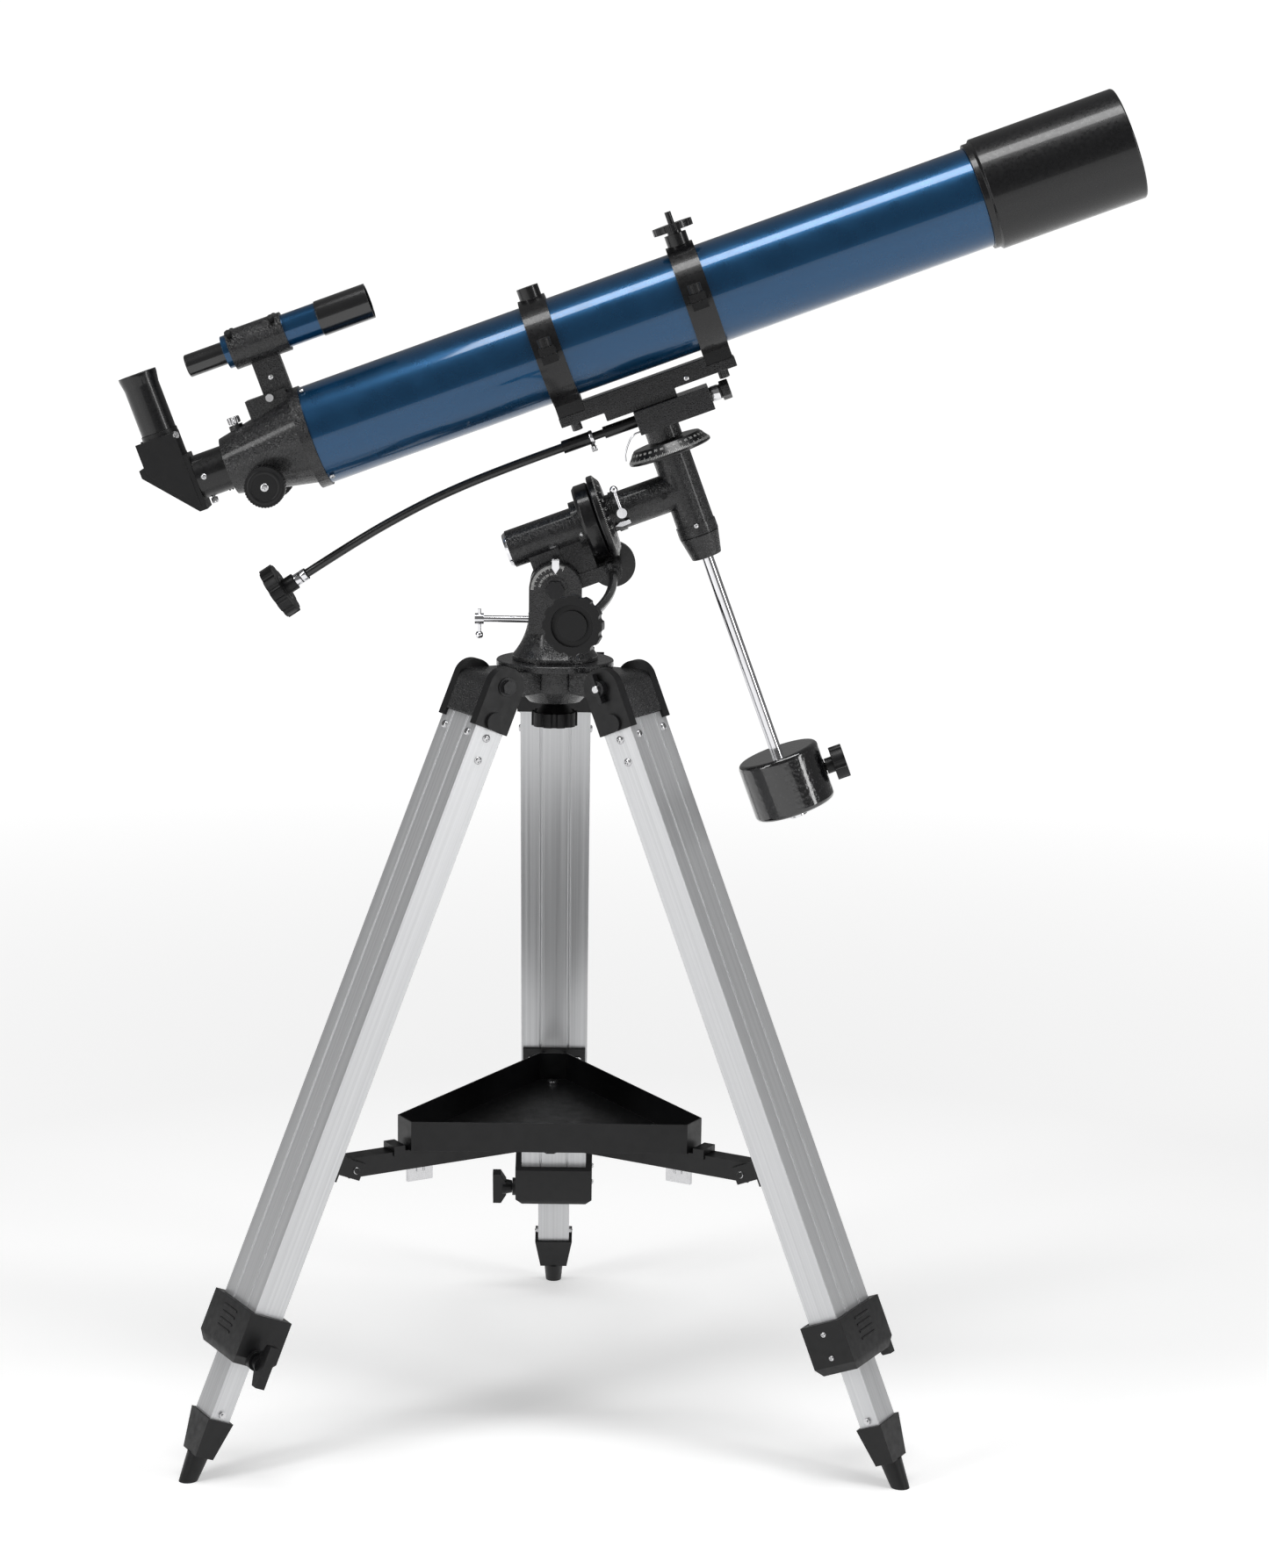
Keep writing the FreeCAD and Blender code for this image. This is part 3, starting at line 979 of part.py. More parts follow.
# ---------------------------------------------------------------- star diagonal and eyepiece
prism = extruded(
    "2 * diag_half", ("diag_wide - 8", "0"), ("diag_wide", "0"),
    ("diag_wide", "diag_top - diag_low"), ("0", "diag_top - diag_low"),
    ("0", "diag_top - diag_low - 8"))
prism.Placement = Placement(
    Vector(-number("draw_rear + diag_wide + gap"), number("diag_half"), number("diag_low")),
    Rotation(Vector(1, 0, 0), 90))
diagonal = joined(
    prism,
    rod("x", "-draw_rear - 2", "-draw_rear + plug_long", "nose_radius", z="tube_z"),
    rod("z", "diag_top - 1", "holder_top", "holder_radius", x="-holder_x"),
    rod("z", "diag_top - 1", "diag_top + 3", "holder_radius + 0.6", x="-holder_x"))
node("star_diagonal", without(
    diagonal,
    rod("x", "-holder_x", "-draw_rear + plug_long + 1", "nose_radius - 2.5", z="tube_z"),
    rod("z", "tube_z", "holder_top", "nose_radius - 2.5", x="-holder_x"),
    rod("z", "holder_top - barrel_depth", "holder_top + 1", "nose_radius + running",
        x="-holder_x")), mount)

node("eyepiece", turned(
    ("0", "nose_radius - 2.3"), ("0", "nose_radius"), ("barrel_depth - gap", "nose_radius"),
    ("barrel_depth - gap", "eyepiece_radius"),
    ("cup_start - holder_top + barrel_depth - gap", "eyepiece_radius"),
    ("eyepiece_top - holder_top + barrel_depth - gap - 3", "cup_radius"),
    ("eyepiece_top - holder_top + barrel_depth - gap", "cup_radius"),
    ("eyepiece_top - holder_top + barrel_depth - gap", "cup_radius - 3"),
    ("eyepiece_top - holder_top + barrel_depth - gap - 8", "nose_radius - 6"),
    ("eyepiece_top - holder_top + barrel_depth - gap - 12", "nose_radius - 6"),
    ("eyepiece_top - holder_top + barrel_depth - gap - 12", "nose_radius - 2.3"),
), on_mount("-holder_x", "0", "holder_top - barrel_depth + gap", upright))

# ---------------------------------------------------------------- finder
finder_long = "finder_rear - finder_end"
tube_from = "finder_rear - finder_step"
shield_from = "finder_rear - finder_front"
node("finder_scope", turned(
    ("0", "0"), ("0", "finder_eye - 1"), ("1", "finder_eye"), (tube_from, "finder_eye"),
    (tube_from, "finder_tube"), (shield_from, "finder_tube"), (shield_from, "finder_shield"),
    (finder_long, "finder_shield"), (finder_long, "finder_shield - finder_wall"),
    (f"{shield_from} + 6", "finder_shield - finder_wall"), (f"{shield_from} + 6", "0"),
), on_mount("-finder_rear", "0", "finder_z"))

seat = joined(
    taper("x", "-focus_rear", "-tube_start - focus_flange_thick", "focus_small", "focus_large",
          z="tube_z"),
    rod("x", "-tube_start - focus_flange_thick", "-tube_start", "focus_flange", z="tube_z"))
holder = joined(
    rod("x", "-bracket_rear", "-bracket_front", "bracket_ring", z="finder_z"),
    block(("-stem_rear", "-stem_front"), ("-stem_half", "stem_half"),
          ("shoe_top - 4", "finder_z - finder_tube")),
    block(("-shoe_rear", "-shoe_front"), ("-shoe_half", "shoe_half"),
          ("tube_z + focus_small", "shoe_top")))
node("finder_bracket", without(
    holder, rod("x", "-bracket_rear - 1", "-bracket_front + 1", "finder_tube", z="finder_z"),
    seat), mount)

# ---------------------------------------------------------------- checks and export
doc.recompute()
for item in doc.Objects:
    if "Invalid" in item.State or "Error" in item.State:
        raise RuntimeError(f"{item.Name} ({item.Label}) failed: {item.State}")
for label, item in nodes.items():
    if item.Shape.isNull() or not item.Shape.isValid() or not item.Shape.Solids:
        raise RuntimeError(f"{label} has no valid solid")

# The origin is on the floor, under the middle of the object without its two cables.
hanging = ("dec_cable", "ra_cable", "dec_cable_knob", "ra_cable_knob")
box = FreeCAD.BoundBox()
for label, item in nodes.items():
    if label not in hanging:
        box.add(item.Shape.optimalBoundingBox(False, False))
origin = Vector(box.Center.x, box.Center.y, box.ZMin)
print(f"origin: {origin.x:.3f} {origin.y:.3f} {origin.z:.3f} mm; size {box.XLength:.1f} x "
      f"{box.YLength:.1f} x {box.ZLength:.1f} mm")
os.makedirs("parts", exist_ok=True)
for label, item in nodes.items():
    shape = item.Shape.copy()
    shape.translate(-origin)
    shape.exportStep(f"parts/{label}.step")
    print(f"{label}: {len(shape.Solids)} solids, {shape.Volume / 1000:.1f} cm3")
print(f"{len(nodes)} sub-parts")
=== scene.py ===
import json
import math

import bmesh
import bpy
from mathutils import Matrix, Vector


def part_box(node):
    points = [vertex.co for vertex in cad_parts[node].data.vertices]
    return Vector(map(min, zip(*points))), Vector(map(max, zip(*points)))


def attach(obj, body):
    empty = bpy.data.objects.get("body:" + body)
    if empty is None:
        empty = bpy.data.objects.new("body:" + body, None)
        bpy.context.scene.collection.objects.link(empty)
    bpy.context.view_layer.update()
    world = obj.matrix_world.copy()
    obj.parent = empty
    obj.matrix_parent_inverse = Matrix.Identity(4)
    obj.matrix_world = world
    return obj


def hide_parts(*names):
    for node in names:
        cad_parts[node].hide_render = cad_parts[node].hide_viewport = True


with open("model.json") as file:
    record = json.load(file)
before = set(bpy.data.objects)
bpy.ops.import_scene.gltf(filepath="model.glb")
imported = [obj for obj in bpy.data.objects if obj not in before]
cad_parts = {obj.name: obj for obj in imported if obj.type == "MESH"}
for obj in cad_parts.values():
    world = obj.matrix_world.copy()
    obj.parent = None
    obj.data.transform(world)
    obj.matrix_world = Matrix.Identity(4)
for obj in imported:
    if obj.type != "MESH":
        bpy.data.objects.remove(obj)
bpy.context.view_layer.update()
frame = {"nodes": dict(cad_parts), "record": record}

# ------------------------------------------------------------------ where things are
# The tripod stands on its axis, under the spreader's hub plate. The mount's own frame has its
# origin where the polar and declination axes cross, x along the polar axis and z along the other.
MM = 0.001
SMOOTH_ANGLE = math.radians(38)

# In millimetres, and in degrees for the legs. Heights on the tripod are above the floor, and
# those on the mount are along its own z.
LEG_ANGLES = {"left": 210, "right": 330, "back": 90}
HINGE_RADIUS, HINGE_HEIGHT = 75, 769
EAR_PIN_RADIUS, EAR_PIN_HEIGHT = 226, 293
ALTITUDE_HEIGHT = 860
SCREW_HEIGHT = 77
TUBE_HEIGHT = 170
FINDER_HEIGHT = 275
FOCUS_X, FOCUS_HEIGHT = -381, 142
CIRCLE_RADIUS = 42

hub_low, hub_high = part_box("spreader_hub")
axis_x = (hub_low[0] + hub_high[0]) / 2
axis_y = (hub_low[1] + hub_high[1]) / 2
joints = {joint["name"]: joint for joint in frame["record"]["behaviour"]["joints"]}
polar = Vector(joints["right_ascension"]["axis"])
declination = Vector(joints["declination"]["axis"])
level = declination.cross(polar)
mount = Matrix((polar, level, declination)).transposed().to_4x4()
mount.translation = Vector(joints["declination"]["pos_m"])
mount = mount @ Matrix.Scale(MM, 4)
stand = Matrix.Translation((axis_x, axis_y, 0)) @ Matrix.Scale(MM, 4)


def on_mount(x, y, z):
    """A point in millimetres in the mount's frame, as metres in the row's."""
    return mount @ Vector((x, y, z))


def faced(base, x, y, z, toward):
    """A place in a millimetre frame, turned so that its own z points the given way."""
    turn = Vector(toward).to_track_quat("Z", "Y").to_matrix().to_4x4()
    return base @ Matrix.Translation((x, y, z)) @ turn


# ------------------------------------------------------------------ camera
# A long lens 3.3 m in front, about as high as the optical tube and looking slightly down. The
# angles are in radians and the place is in millimetres from the tripod's axis.
pitch, yaw, roll = -0.1885, 0.0121, 0.0142
forward = Vector((math.sin(yaw) * math.cos(pitch), math.cos(yaw) * math.cos(pitch),
                  math.sin(pitch)))
right = Vector((math.cos(yaw), -math.sin(yaw), 0))
above = right.cross(forward)
side = right * math.cos(roll) + above * math.sin(roll)
upward = above * math.cos(roll) - right * math.sin(roll)
camera_data = bpy.data.cameras.new("camera")
camera_data.sensor_width = 36
camera_data.lens = 76.68
camera = bpy.data.objects.new("camera", camera_data)
bpy.context.scene.collection.objects.link(camera)
placing = Matrix((side, upward, -forward)).transposed().to_4x4()
placing.translation = stand @ Vector((41, -3290, 1288.4))
camera.matrix_world = placing
bpy.context.scene.camera = camera


# ------------------------------------------------------------------ slow-motion cables
# A sprung steel core in a black plastic sheath, pushed on the end of a screw and carrying a hand
# knob at its free end. Each leaves its sleeve straight and droops a little under the knob.
class Wire:
    """A node socket that can be added, multiplied and so on."""

    def __init__(self, graph, socket):
        self.graph = graph
        self.socket = socket

    def maths(self, operation, *values):
        return self.graph.add("ShaderNodeMath", {"operation": operation}, dict(enumerate(values)))

    def __add__(self, other):
        return self.maths("ADD", self, other)

    def __mul__(self, other):
        return self.maths("MULTIPLY", self, other)

    def __sub__(self, other):
        return self.maths("SUBTRACT", self, other)

    def __rsub__(self, other):
        return self.maths("SUBTRACT", other, self)

    def __gt__(self, other):
        return self.maths("GREATER_THAN", self, other)

    __radd__ = __add__
    __rmul__ = __mul__


class Graph:
    """A node tree that is filled one node at a time."""

    def __init__(self, tree):
        self.tree = tree

    def add(self, kind, settings=None, inputs=None, output=0):
        made = self.tree.nodes.new(kind)
        for word, amount in (settings or {}).items():
            setattr(made, word, amount)
        for key, amount in (inputs or {}).items():
            for one in amount if isinstance(amount, list) else [amount]:
                if isinstance(one, Wire):
                    self.tree.links.new(one.socket, made.inputs[key])
                else:
                    made.inputs[key].default_value = one
        return Wire(self, made.outputs[output])


class Finish(Graph):
    """A procedural material on one Principled shader, read in Object coordinates."""

    def __init__(self, name, colour, roughness, **fixed):
        self.material = bpy.data.materials.new(name)
        self.material.use_nodes = True
        self.material.diffuse_color = (*colour, 1)
        super().__init__(self.material.node_tree)
        self.shader = self.tree.nodes["Principled BSDF"]
        self.shader.inputs["Base Color"].default_value = (*colour, 1)
        self.shader.inputs["Roughness"].default_value = roughness
        for word, amount in fixed.items():
            self.shader.inputs[word.replace("_", " ")].default_value = amount
        self.place = self.add("ShaderNodeTexCoord", output="Object")

    def feed(self, word, wire):
        self.tree.links.new(wire.socket, self.shader.inputs[word])
        return self

    def noise(self, scale, detail=2.0, place=None):
        return self.add("ShaderNodeTexNoise", None, {"Vector": place or self.place, "Scale": scale,
                                                     "Detail": detail})

    def cells(self, scale, feature="F1"):
        return self.add("ShaderNodeTexVoronoi", {"feature": feature},
                        {"Vector": self.place, "Scale": scale})

    def spread(self, wire, low, high, to_low, to_high):
        return self.add("ShaderNodeMapRange", None, {
            "Value": wire, "From Min": low, "From Max": high, "To Min": to_low, "To Max": to_high})

    def blend(self, mask, first, second):
        """Between two colours by a mask."""
        mixed = self.tree.nodes.new("ShaderNodeMix")
        mixed.data_type = "RGBA"
        sockets = [item for item in mixed.inputs if item.type == "RGBA"]
        self.tree.links.new(mask.socket, mixed.inputs["Factor"])
        for socket, colour in zip(sockets, (first, second)):
            if isinstance(colour, Wire):
                self.tree.links.new(colour.socket, socket)
            else:
                socket.default_value = (*colour, 1)
        return Wire(self, [item for item in mixed.outputs if item.type == "RGBA"][0])

    def bump(self, height, depth, strength=1.0):
        relief = self.add("ShaderNodeBump", None, {
            "Height": height, "Distance": depth, "Strength": strength}, "Normal")
        return self.feed("Normal", relief)


def link_mesh(name, mesh, body, finish=None):
    """Puts a finished mesh in the scene and on its body."""
    if finish:
        mesh.materials.clear()
        mesh.materials.append(finish.material)
    piece = bpy.data.objects.new(name, mesh)
    bpy.context.scene.collection.objects.link(piece)
    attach(piece, body)
    return piece


class Shape:
    """One piece's mesh, put together from turned, boxed and swept bits given in millimetres."""

    def __init__(self):
        self.mesh = bmesh.new()

    def skin(self, rings):
        """Faces between rings of points, where a ring of one point is a closed end."""
        for low, high in zip(rings, rings[1:]):
            for step in range(max(len(low), len(high))):
                ahead = step + 1
                corners = (low[step % len(low)], low[ahead % len(low)],
                           high[ahead % len(high)], high[step % len(high)])
                corners = list(dict.fromkeys(corners))
                if len(corners) > 2:
                    self.mesh.faces.new(corners)
        return self

    def turned(self, place, outline, steps=40, flutes=0, depth=0.0):
        """Turned about z from (radius, height) corners; its widest part may be fluted."""
        widest = max(radius for radius, height in outline)
        rings = []
        for radius, height in outline:
            if radius == 0:
                rings.append([self.mesh.verts.new(place @ Vector((0, 0, height)))])
                continue
            ring = []
            for step in range(steps):
                angle = 2 * math.pi * step / steps
                groove = depth * (1 - math.cos(flutes * angle)) / 2 if radius == widest else 0
                reach = radius - groove
                spot = Vector((reach * math.cos(angle), reach * math.sin(angle), height))
                ring.append(self.mesh.verts.new(place @ spot))
            rings.append(ring)
        if outline[0] == outline[-1]:
            bmesh.ops.delete(self.mesh, geom=rings.pop(), context="VERTS")
            rings.append(rings[0])
        return self.skin(rings)

    def prism(self, place, outline, low, high):
        """A flat outline of (x, y) corners, raised between two heights."""
        rings = [[self.mesh.verts.new(place @ Vector((x, y, height))) for x, y in outline]
                 for height in (low, high)]
        self.skin(rings)
        self.mesh.faces.new(rings[0][::-1])
        self.mesh.faces.new(rings[1])
        return self

    def rod(self, place, points, radius, steps=12):
        """A round wire through a few points."""
        spots = [Vector(point) for point in points]
        rings = []
        for index, spot in enumerate(spots):
            ahead = spots[min(index + 1, len(spots) - 1)] - spots[max(index - 1, 0)]
            turn = ahead.to_track_quat("Z", "Y")
            rings.append([self.mesh.verts.new(place @ (spot + turn @ Vector((
                radius * math.cos(2 * math.pi * step / steps),
                radius * math.sin(2 * math.pi * step / steps), 0)))) for step in range(steps)])
        self.skin(rings)
        self.mesh.faces.new(rings[0][::-1])
        self.mesh.faces.new(rings[-1])
        return self

    def piece(self, name, body, slot, finish, edge=0.0):
        """Closes the mesh, eases its edges and puts it on its body."""
        bmesh.ops.recalc_face_normals(self.mesh, faces=self.mesh.faces)
        mesh = bpy.data.meshes.new(name)
        self.mesh.to_mesh(mesh)
        self.mesh.free()
        mesh.polygons.foreach_set("use_smooth", [True] * len(mesh.polygons))
        mesh.set_sharp_from_angle(angle=SMOOTH_ANGLE)
        made = link_mesh(name, mesh, body, finish)
        if edge:
            easing = made.modifiers.new("eased", "BEVEL")
            easing.width = edge * MM
            easing.segments = 2
            easing.limit_method = "ANGLE"
            easing.angle_limit = SMOOTH_ANGLE
        return made


sheath = Finish("cable_sheath", (0.005, 0.005, 0.0055), 0.24, Coat_Weight=0.4, Coat_Roughness=0.12)
sheath.feed("Roughness", sheath.spread(sheath.noise(180, 4), 0.3, 0.7, 0.24, 0.4))
sheath.bump(sheath.noise(900, 3), 0.0002, 0.3)
chrome = Finish("chrome_plate", (0.78, 0.78, 0.8), 0.1, Metallic=1.0)
chrome.feed("Roughness", chrome.spread(chrome.noise(60, 3), 0.3, 0.7, 0.06, 0.16))
CABLE_RADIUS = 4.4
DEC_CABLE = ((-98, 0, SCREW_HEIGHT), (-148, 0, SCREW_HEIGHT), (-214, 0, 74.5), (-265, 0, 68.5),
             (-322, 0, 58.5), (-378.5, 0, 45.2))
RA_CABLE = ((-92, -66, -52), (-92, -114, -52), (-95, -172, -53), (-102, -231, -53),
            (-111, -288, -51), (-121, -340, -46.5))
FERRULE = ((0, 0.4), (5.4, 0.4), (6.2, 1.2), (6.2, 6), (5.9, 6.6), (5.9, 7.4), (6.2, 8),
           (6.2, 13.2), (5.4, 14), (0, 14))
DISH_RING = ((11.5, 25.6), (13.2, 25.6), (13.2, 28.4), (12.6, 29), (12.1, 29), (11.5, 28.4),
             (11.5, 25.6))


def free_cable(name, route, node, body):
    """The sheath as a smooth curve, with its crimped ferrule and the hand knob on its end."""
    line = bpy.data.curves.new(name, "CURVE")
    line.dimensions = "3D"
    line.bevel_depth = CABLE_RADIUS * MM
    line.bevel_resolution = 6
    line.resolution_u = 16
    line.use_fill_caps = True
    spline = line.splines.new("NURBS")
    spline.points.add(len(route) - 1)
    for point, spot in zip(spline.points, route):
        point.co = (*on_mount(*spot), 1)
    spline.order_u = 3
    spline.use_endpoint_u = True
    line.materials.append(sheath.material)
    cord = bpy.data.objects.new(name, line)
    bpy.context.scene.collection.objects.link(cord)
    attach(cord, body)
    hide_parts(node)
    end = faced(mount, *route[-1], Vector(route[-1]) - Vector(route[-2]))
    ferrule = Shape().turned(end, FERRULE)
    ferrule = ferrule.piece(name + "_ferrule", node + "_knob", "chrome", chrome)
    rim = Shape().turned(end, DISH_RING, 48)
    rim = rim.piece(name + "_knob_rim", node + "_knob", "black_plastic", sheath)


free_cable("declination_cable", DEC_CABLE, "dec_cable", "declination_shaft")
free_cable("polar_cable", RA_CABLE, "ra_cable", "polar_housing")

# ------------------------------------------------------------------ castings
# Hub, mount base, housings, head, saddle, focuser, finder bracket and the declination shaft's
# collar are die castings in black hammered enamel: a glossy skin with a net of small shallow
# dimples and rounded edges.
riders = {node: body for body, held in frame["record"]["behaviour"]["bodies"].items()
          for node in held}


def eased(node, finish, edge=0.6, turn=32):
    """A node's own shape with its sharp edges eased by a small radius, in millimetres."""
    mesh = frame["nodes"][node].data.copy()
    shape = bmesh.new()
    shape.from_mesh(mesh)
    bmesh.ops.remove_doubles(shape, verts=shape.verts, dist=0.00002)
    bmesh.ops.dissolve_limit(shape, angle_limit=math.radians(0.6), verts=shape.verts,
                             edges=shape.edges, delimit={"NORMAL"})
    shape.to_mesh(mesh)
    shape.free()
    mesh.polygons.foreach_set("use_smooth", [True] * len(mesh.polygons))
    piece = link_mesh(node + "_part", mesh, riders[node], finish)
    easing = piece.modifiers.new("eased", "BEVEL")
    easing.width = edge * MM
    easing.segments = 2
    easing.limit_method = "ANGLE"
    easing.angle_limit = math.radians(turn)
    easing.use_clamp_overlap = True
    flat = piece.modifiers.new("flat", "WEIGHTED_NORMAL")
    flat.keep_sharp = True
    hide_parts(node)
    return piece


hammertone = Finish("black_hammertone", (0.004, 0.004, 0.0045), 0.3, Coat_Weight=0.35,
                    Coat_Roughness=0.12, Specular_IOR_Level=0.4)
veins = hammertone.cells(520, "DISTANCE_TO_EDGE")
hammertone.bump(hammertone.spread(veins, 0, 0.45, 0, 1) + hammertone.noise(900, 3) * 0.5,
                0.0005, 0.6)
hammertone.feed("Base Color", hammertone.blend(
    hammertone.spread(veins + hammertone.noise(300, 2) * 0.3, 0.08, 0.3, 0, 1),
    (0.03, 0.03, 0.032), (0.0025, 0.0025, 0.003)))
hammertone.feed("Roughness", hammertone.spread(hammertone.noise(260, 3), 0.35, 0.7, 0.18, 0.38))
for node in ("tripod_hub", "mount_base", "ra_housing", "dec_housing", "dec_head", "saddle_bar",
             "focuser_body", "finder_bracket", "dec_shaft"):
    eased(node, hammertone, 0.9)

# ------------------------------------------------------------------ screws and nuts
# Pan-head cross screws, hexagon nuts and plain stud ends in bright zinc. One tree makes them
# all: a low head of so many sides, a dome on it, a cross cut in the dome or a stud through it.
zinc = Finish("zinc_plate", (0.6, 0.6, 0.61), 0.24, Metallic=1.0)
zinc.feed("Roughness", zinc.spread(zinc.noise(240, 4), 0.3, 0.7, 0.16, 0.34))


def small_tree(name, words):
    """A Geometry Nodes tree with named inputs, as a graph and its input sockets."""
    tree = bpy.data.node_groups.new(name, "GeometryNodeTree")
    kinds = {"Points": "NodeSocketGeometry", "Material": "NodeSocketMaterial",
             "Count": "NodeSocketInt", "Every": "NodeSocketInt"}
    for word in ("Points",) + words + ("Material",):
        kind = kinds.get(word, "NodeSocketFloat")
        tree.interface.new_socket(word, in_out="INPUT", socket_type=kind)
    tree.interface.new_socket("Points", in_out="OUTPUT", socket_type="NodeSocketGeometry")
    graph = Graph(tree)
    entry = tree.nodes.new("NodeGroupInput")
    return graph, {socket.name: Wire(graph, socket) for socket in entry.outputs if socket.name}


def stood(graph, given, item):
    """Puts the item on every point, turned as the point says, as real mesh in one material."""
    turn = graph.add("GeometryNodeInputNamedAttribute", {"data_type": "FLOAT_VECTOR"},
                     {"Name": "turn"})
    turn = graph.add("FunctionNodeEulerToRotation", None, {0: turn})
    copies = graph.add("GeometryNodeInstanceOnPoints", None, {
        "Points": given["Points"], "Instance": item, "Rotation": turn})
    return ended(graph, given, copies)


def ended(graph, given, copies):
    """The last two nodes of every tree."""
    copies = graph.add("GeometryNodeRealizeInstances", None, {"Geometry": copies})
    copies = graph.add("GeometryNodeSetMaterial", None, {
        "Geometry": copies, "Material": given["Material"]})
    leave = graph.tree.nodes.new("NodeGroupOutput")
    graph.tree.links.new(copies.socket, leave.inputs[0])
    return graph.tree


def upright(graph, kind, inputs, lift):
    """A primitive stood on its base, raised by the lift."""
    body = graph.add(kind, None, inputs)
    raised = graph.add("ShaderNodeCombineXYZ", None, {"Z": lift})
    return graph.add("GeometryNodeTransform", None, {"Geometry": body, "Translation": raised})


def cross_screw_tree():
    """A domed pan head with a cross recess."""
    graph, given = small_tree("cross_screw", ("Radius", "Height"))
    radius, height = given["Radius"], given["Height"]
    head = graph.add("GeometryNodeMeshCone", {"fill_type": "NGON"}, {
        "Vertices": 24, "Side Segments": 6, "Radius Top": radius * 1, "Radius Bottom": radius * 1,
        "Depth": height * 1})
    here = graph.add("GeometryNodeInputPosition")
    parts = [graph.add("ShaderNodeSeparateXYZ", None, {0: here}, word) for word in "XYZ"]
    rise = parts[2].maths("DIVIDE", parts[2], height)
    crown = rise.maths("SQRT", 1 - rise * rise * rise * 0.75)
    domed = graph.add("ShaderNodeCombineXYZ", None, {
        "X": parts[0] * crown, "Y": parts[1] * crown, "Z": parts[2] * 1})
    head = graph.add("GeometryNodeSetPosition", None, {"Geometry": head, "Position": domed})
    cutters = []
    for wide, deep in ((1.15, 0.27), (0.27, 1.15)):
        size = graph.add("ShaderNodeCombineXYZ", None, {
            "X": radius * wide, "Y": radius * deep, "Z": height * 1.1})
        cutters.append(upright(graph, "GeometryNodeMeshCube", {"Size": size}, height * 1))
    cut = graph.add("GeometryNodeMeshBoolean", {"operation": "DIFFERENCE", "solver": "EXACT"},
                    {"Mesh 1": head, "Mesh 2": cutters})
    return stood(graph, given, cut)


def nut_tree():
    """A hexagon nut with the plain end of its stud standing out of it."""
    graph, given = small_tree("stud_nut", ("Radius", "Height", "Stud"))
    radius, height, stud = given["Radius"], given["Height"], given["Stud"]
    nut = graph.add("GeometryNodeMeshCone", {"fill_type": "NGON"}, {
        "Vertices": 6, "Radius Top": radius * 0.96, "Radius Bottom": radius * 1,
        "Depth": height * 1})
    end = graph.add("GeometryNodeMeshCone", {"fill_type": "NGON"}, {
        "Vertices": 16, "Radius Top": radius * 0.42, "Radius Bottom": radius * 0.5,
        "Depth": stud * 1})
    return stood(graph, given, graph.add("GeometryNodeJoinGeometry", None,
                                         {"Geometry": [nut, end]}))


def applied(name, mesh, tree, amounts):
    """What a tree makes of a mesh, as plain mesh."""
    carrier = bpy.data.objects.new(name, mesh)
    bpy.context.scene.collection.objects.link(carrier)
    working = carrier.modifiers.new("tree", "NODES")
    working.node_group = tree
    for socket in tree.interface.items_tree:
        if socket.in_out == "INPUT" and socket.name in amounts:
            working[socket.identifier] = amounts[socket.name]
    bpy.context.view_layer.update()
    seen = carrier.evaluated_get(bpy.context.evaluated_depsgraph_get())
    made = bpy.data.meshes.new_from_object(seen)
    carrier.modifiers.remove(working)
    bpy.data.objects.remove(carrier)
    return made


def fixings(name, tree, places, body, slot, finish, **amounts):
    """The same small fixing at several places, each z pointing out of the surface."""
    dots = bpy.data.meshes.new(name)
    dots.from_pydata([tuple(place.translation) for place in places], [], [])
    turns = dots.attributes.new("turn", "FLOAT_VECTOR", "POINT")
    for item, place in zip(turns.data, places):
        item.vector = tuple(place.to_euler())
    made = applied(name, dots, tree, {
        "Material": finish.material, **{word: amount * MM for word, amount in amounts.items()}})
    made.polygons.foreach_set("use_smooth", [True] * len(made.polygons))
    made.set_sharp_from_angle(angle=SMOOTH_ANGLE)
    return link_mesh(name, made, body)


def leg_point(side, x, y, down, toward):
    """A place on a leg: x out of its outer face, y along its hinge, down from its hinge."""
    angle = math.radians(LEG_ANGLES[side])
    up = -Vector(joints[side + "_leg_extension"]["axis"]).normalized()
    along = Vector((-math.sin(angle), math.cos(angle), 0))
    leg = Matrix((along.cross(up), along, up)).transposed().to_4x4()
    leg.translation = (HINGE_RADIUS * math.cos(angle), HINGE_RADIUS * math.sin(angle),
                       HINGE_HEIGHT)
    return faced(stand @ leg, x, y, -down, toward)


cross_screw = cross_screw_tree()
stud_nut = nut_tree()
LEGS = tuple(LEG_ANGLES)

# Screws hold each leg's bracket to its rail, two in each side plate and two in the outer face.
rail_screws = []
for side in LEGS:
    for face in (-1, 1):
        rail_screws += [leg_point(side, 0, face * 35.9, down, (0, face, 0)) for down in (54, 77)]
        rail_screws.append(leg_point(side, 15.9, face * 24, 54, (1, 0, 0)))
fixings("bracket_screws", cross_screw, rail_screws, "stand", "bolt_steel", zinc,
        Radius=4, Height=2.2)

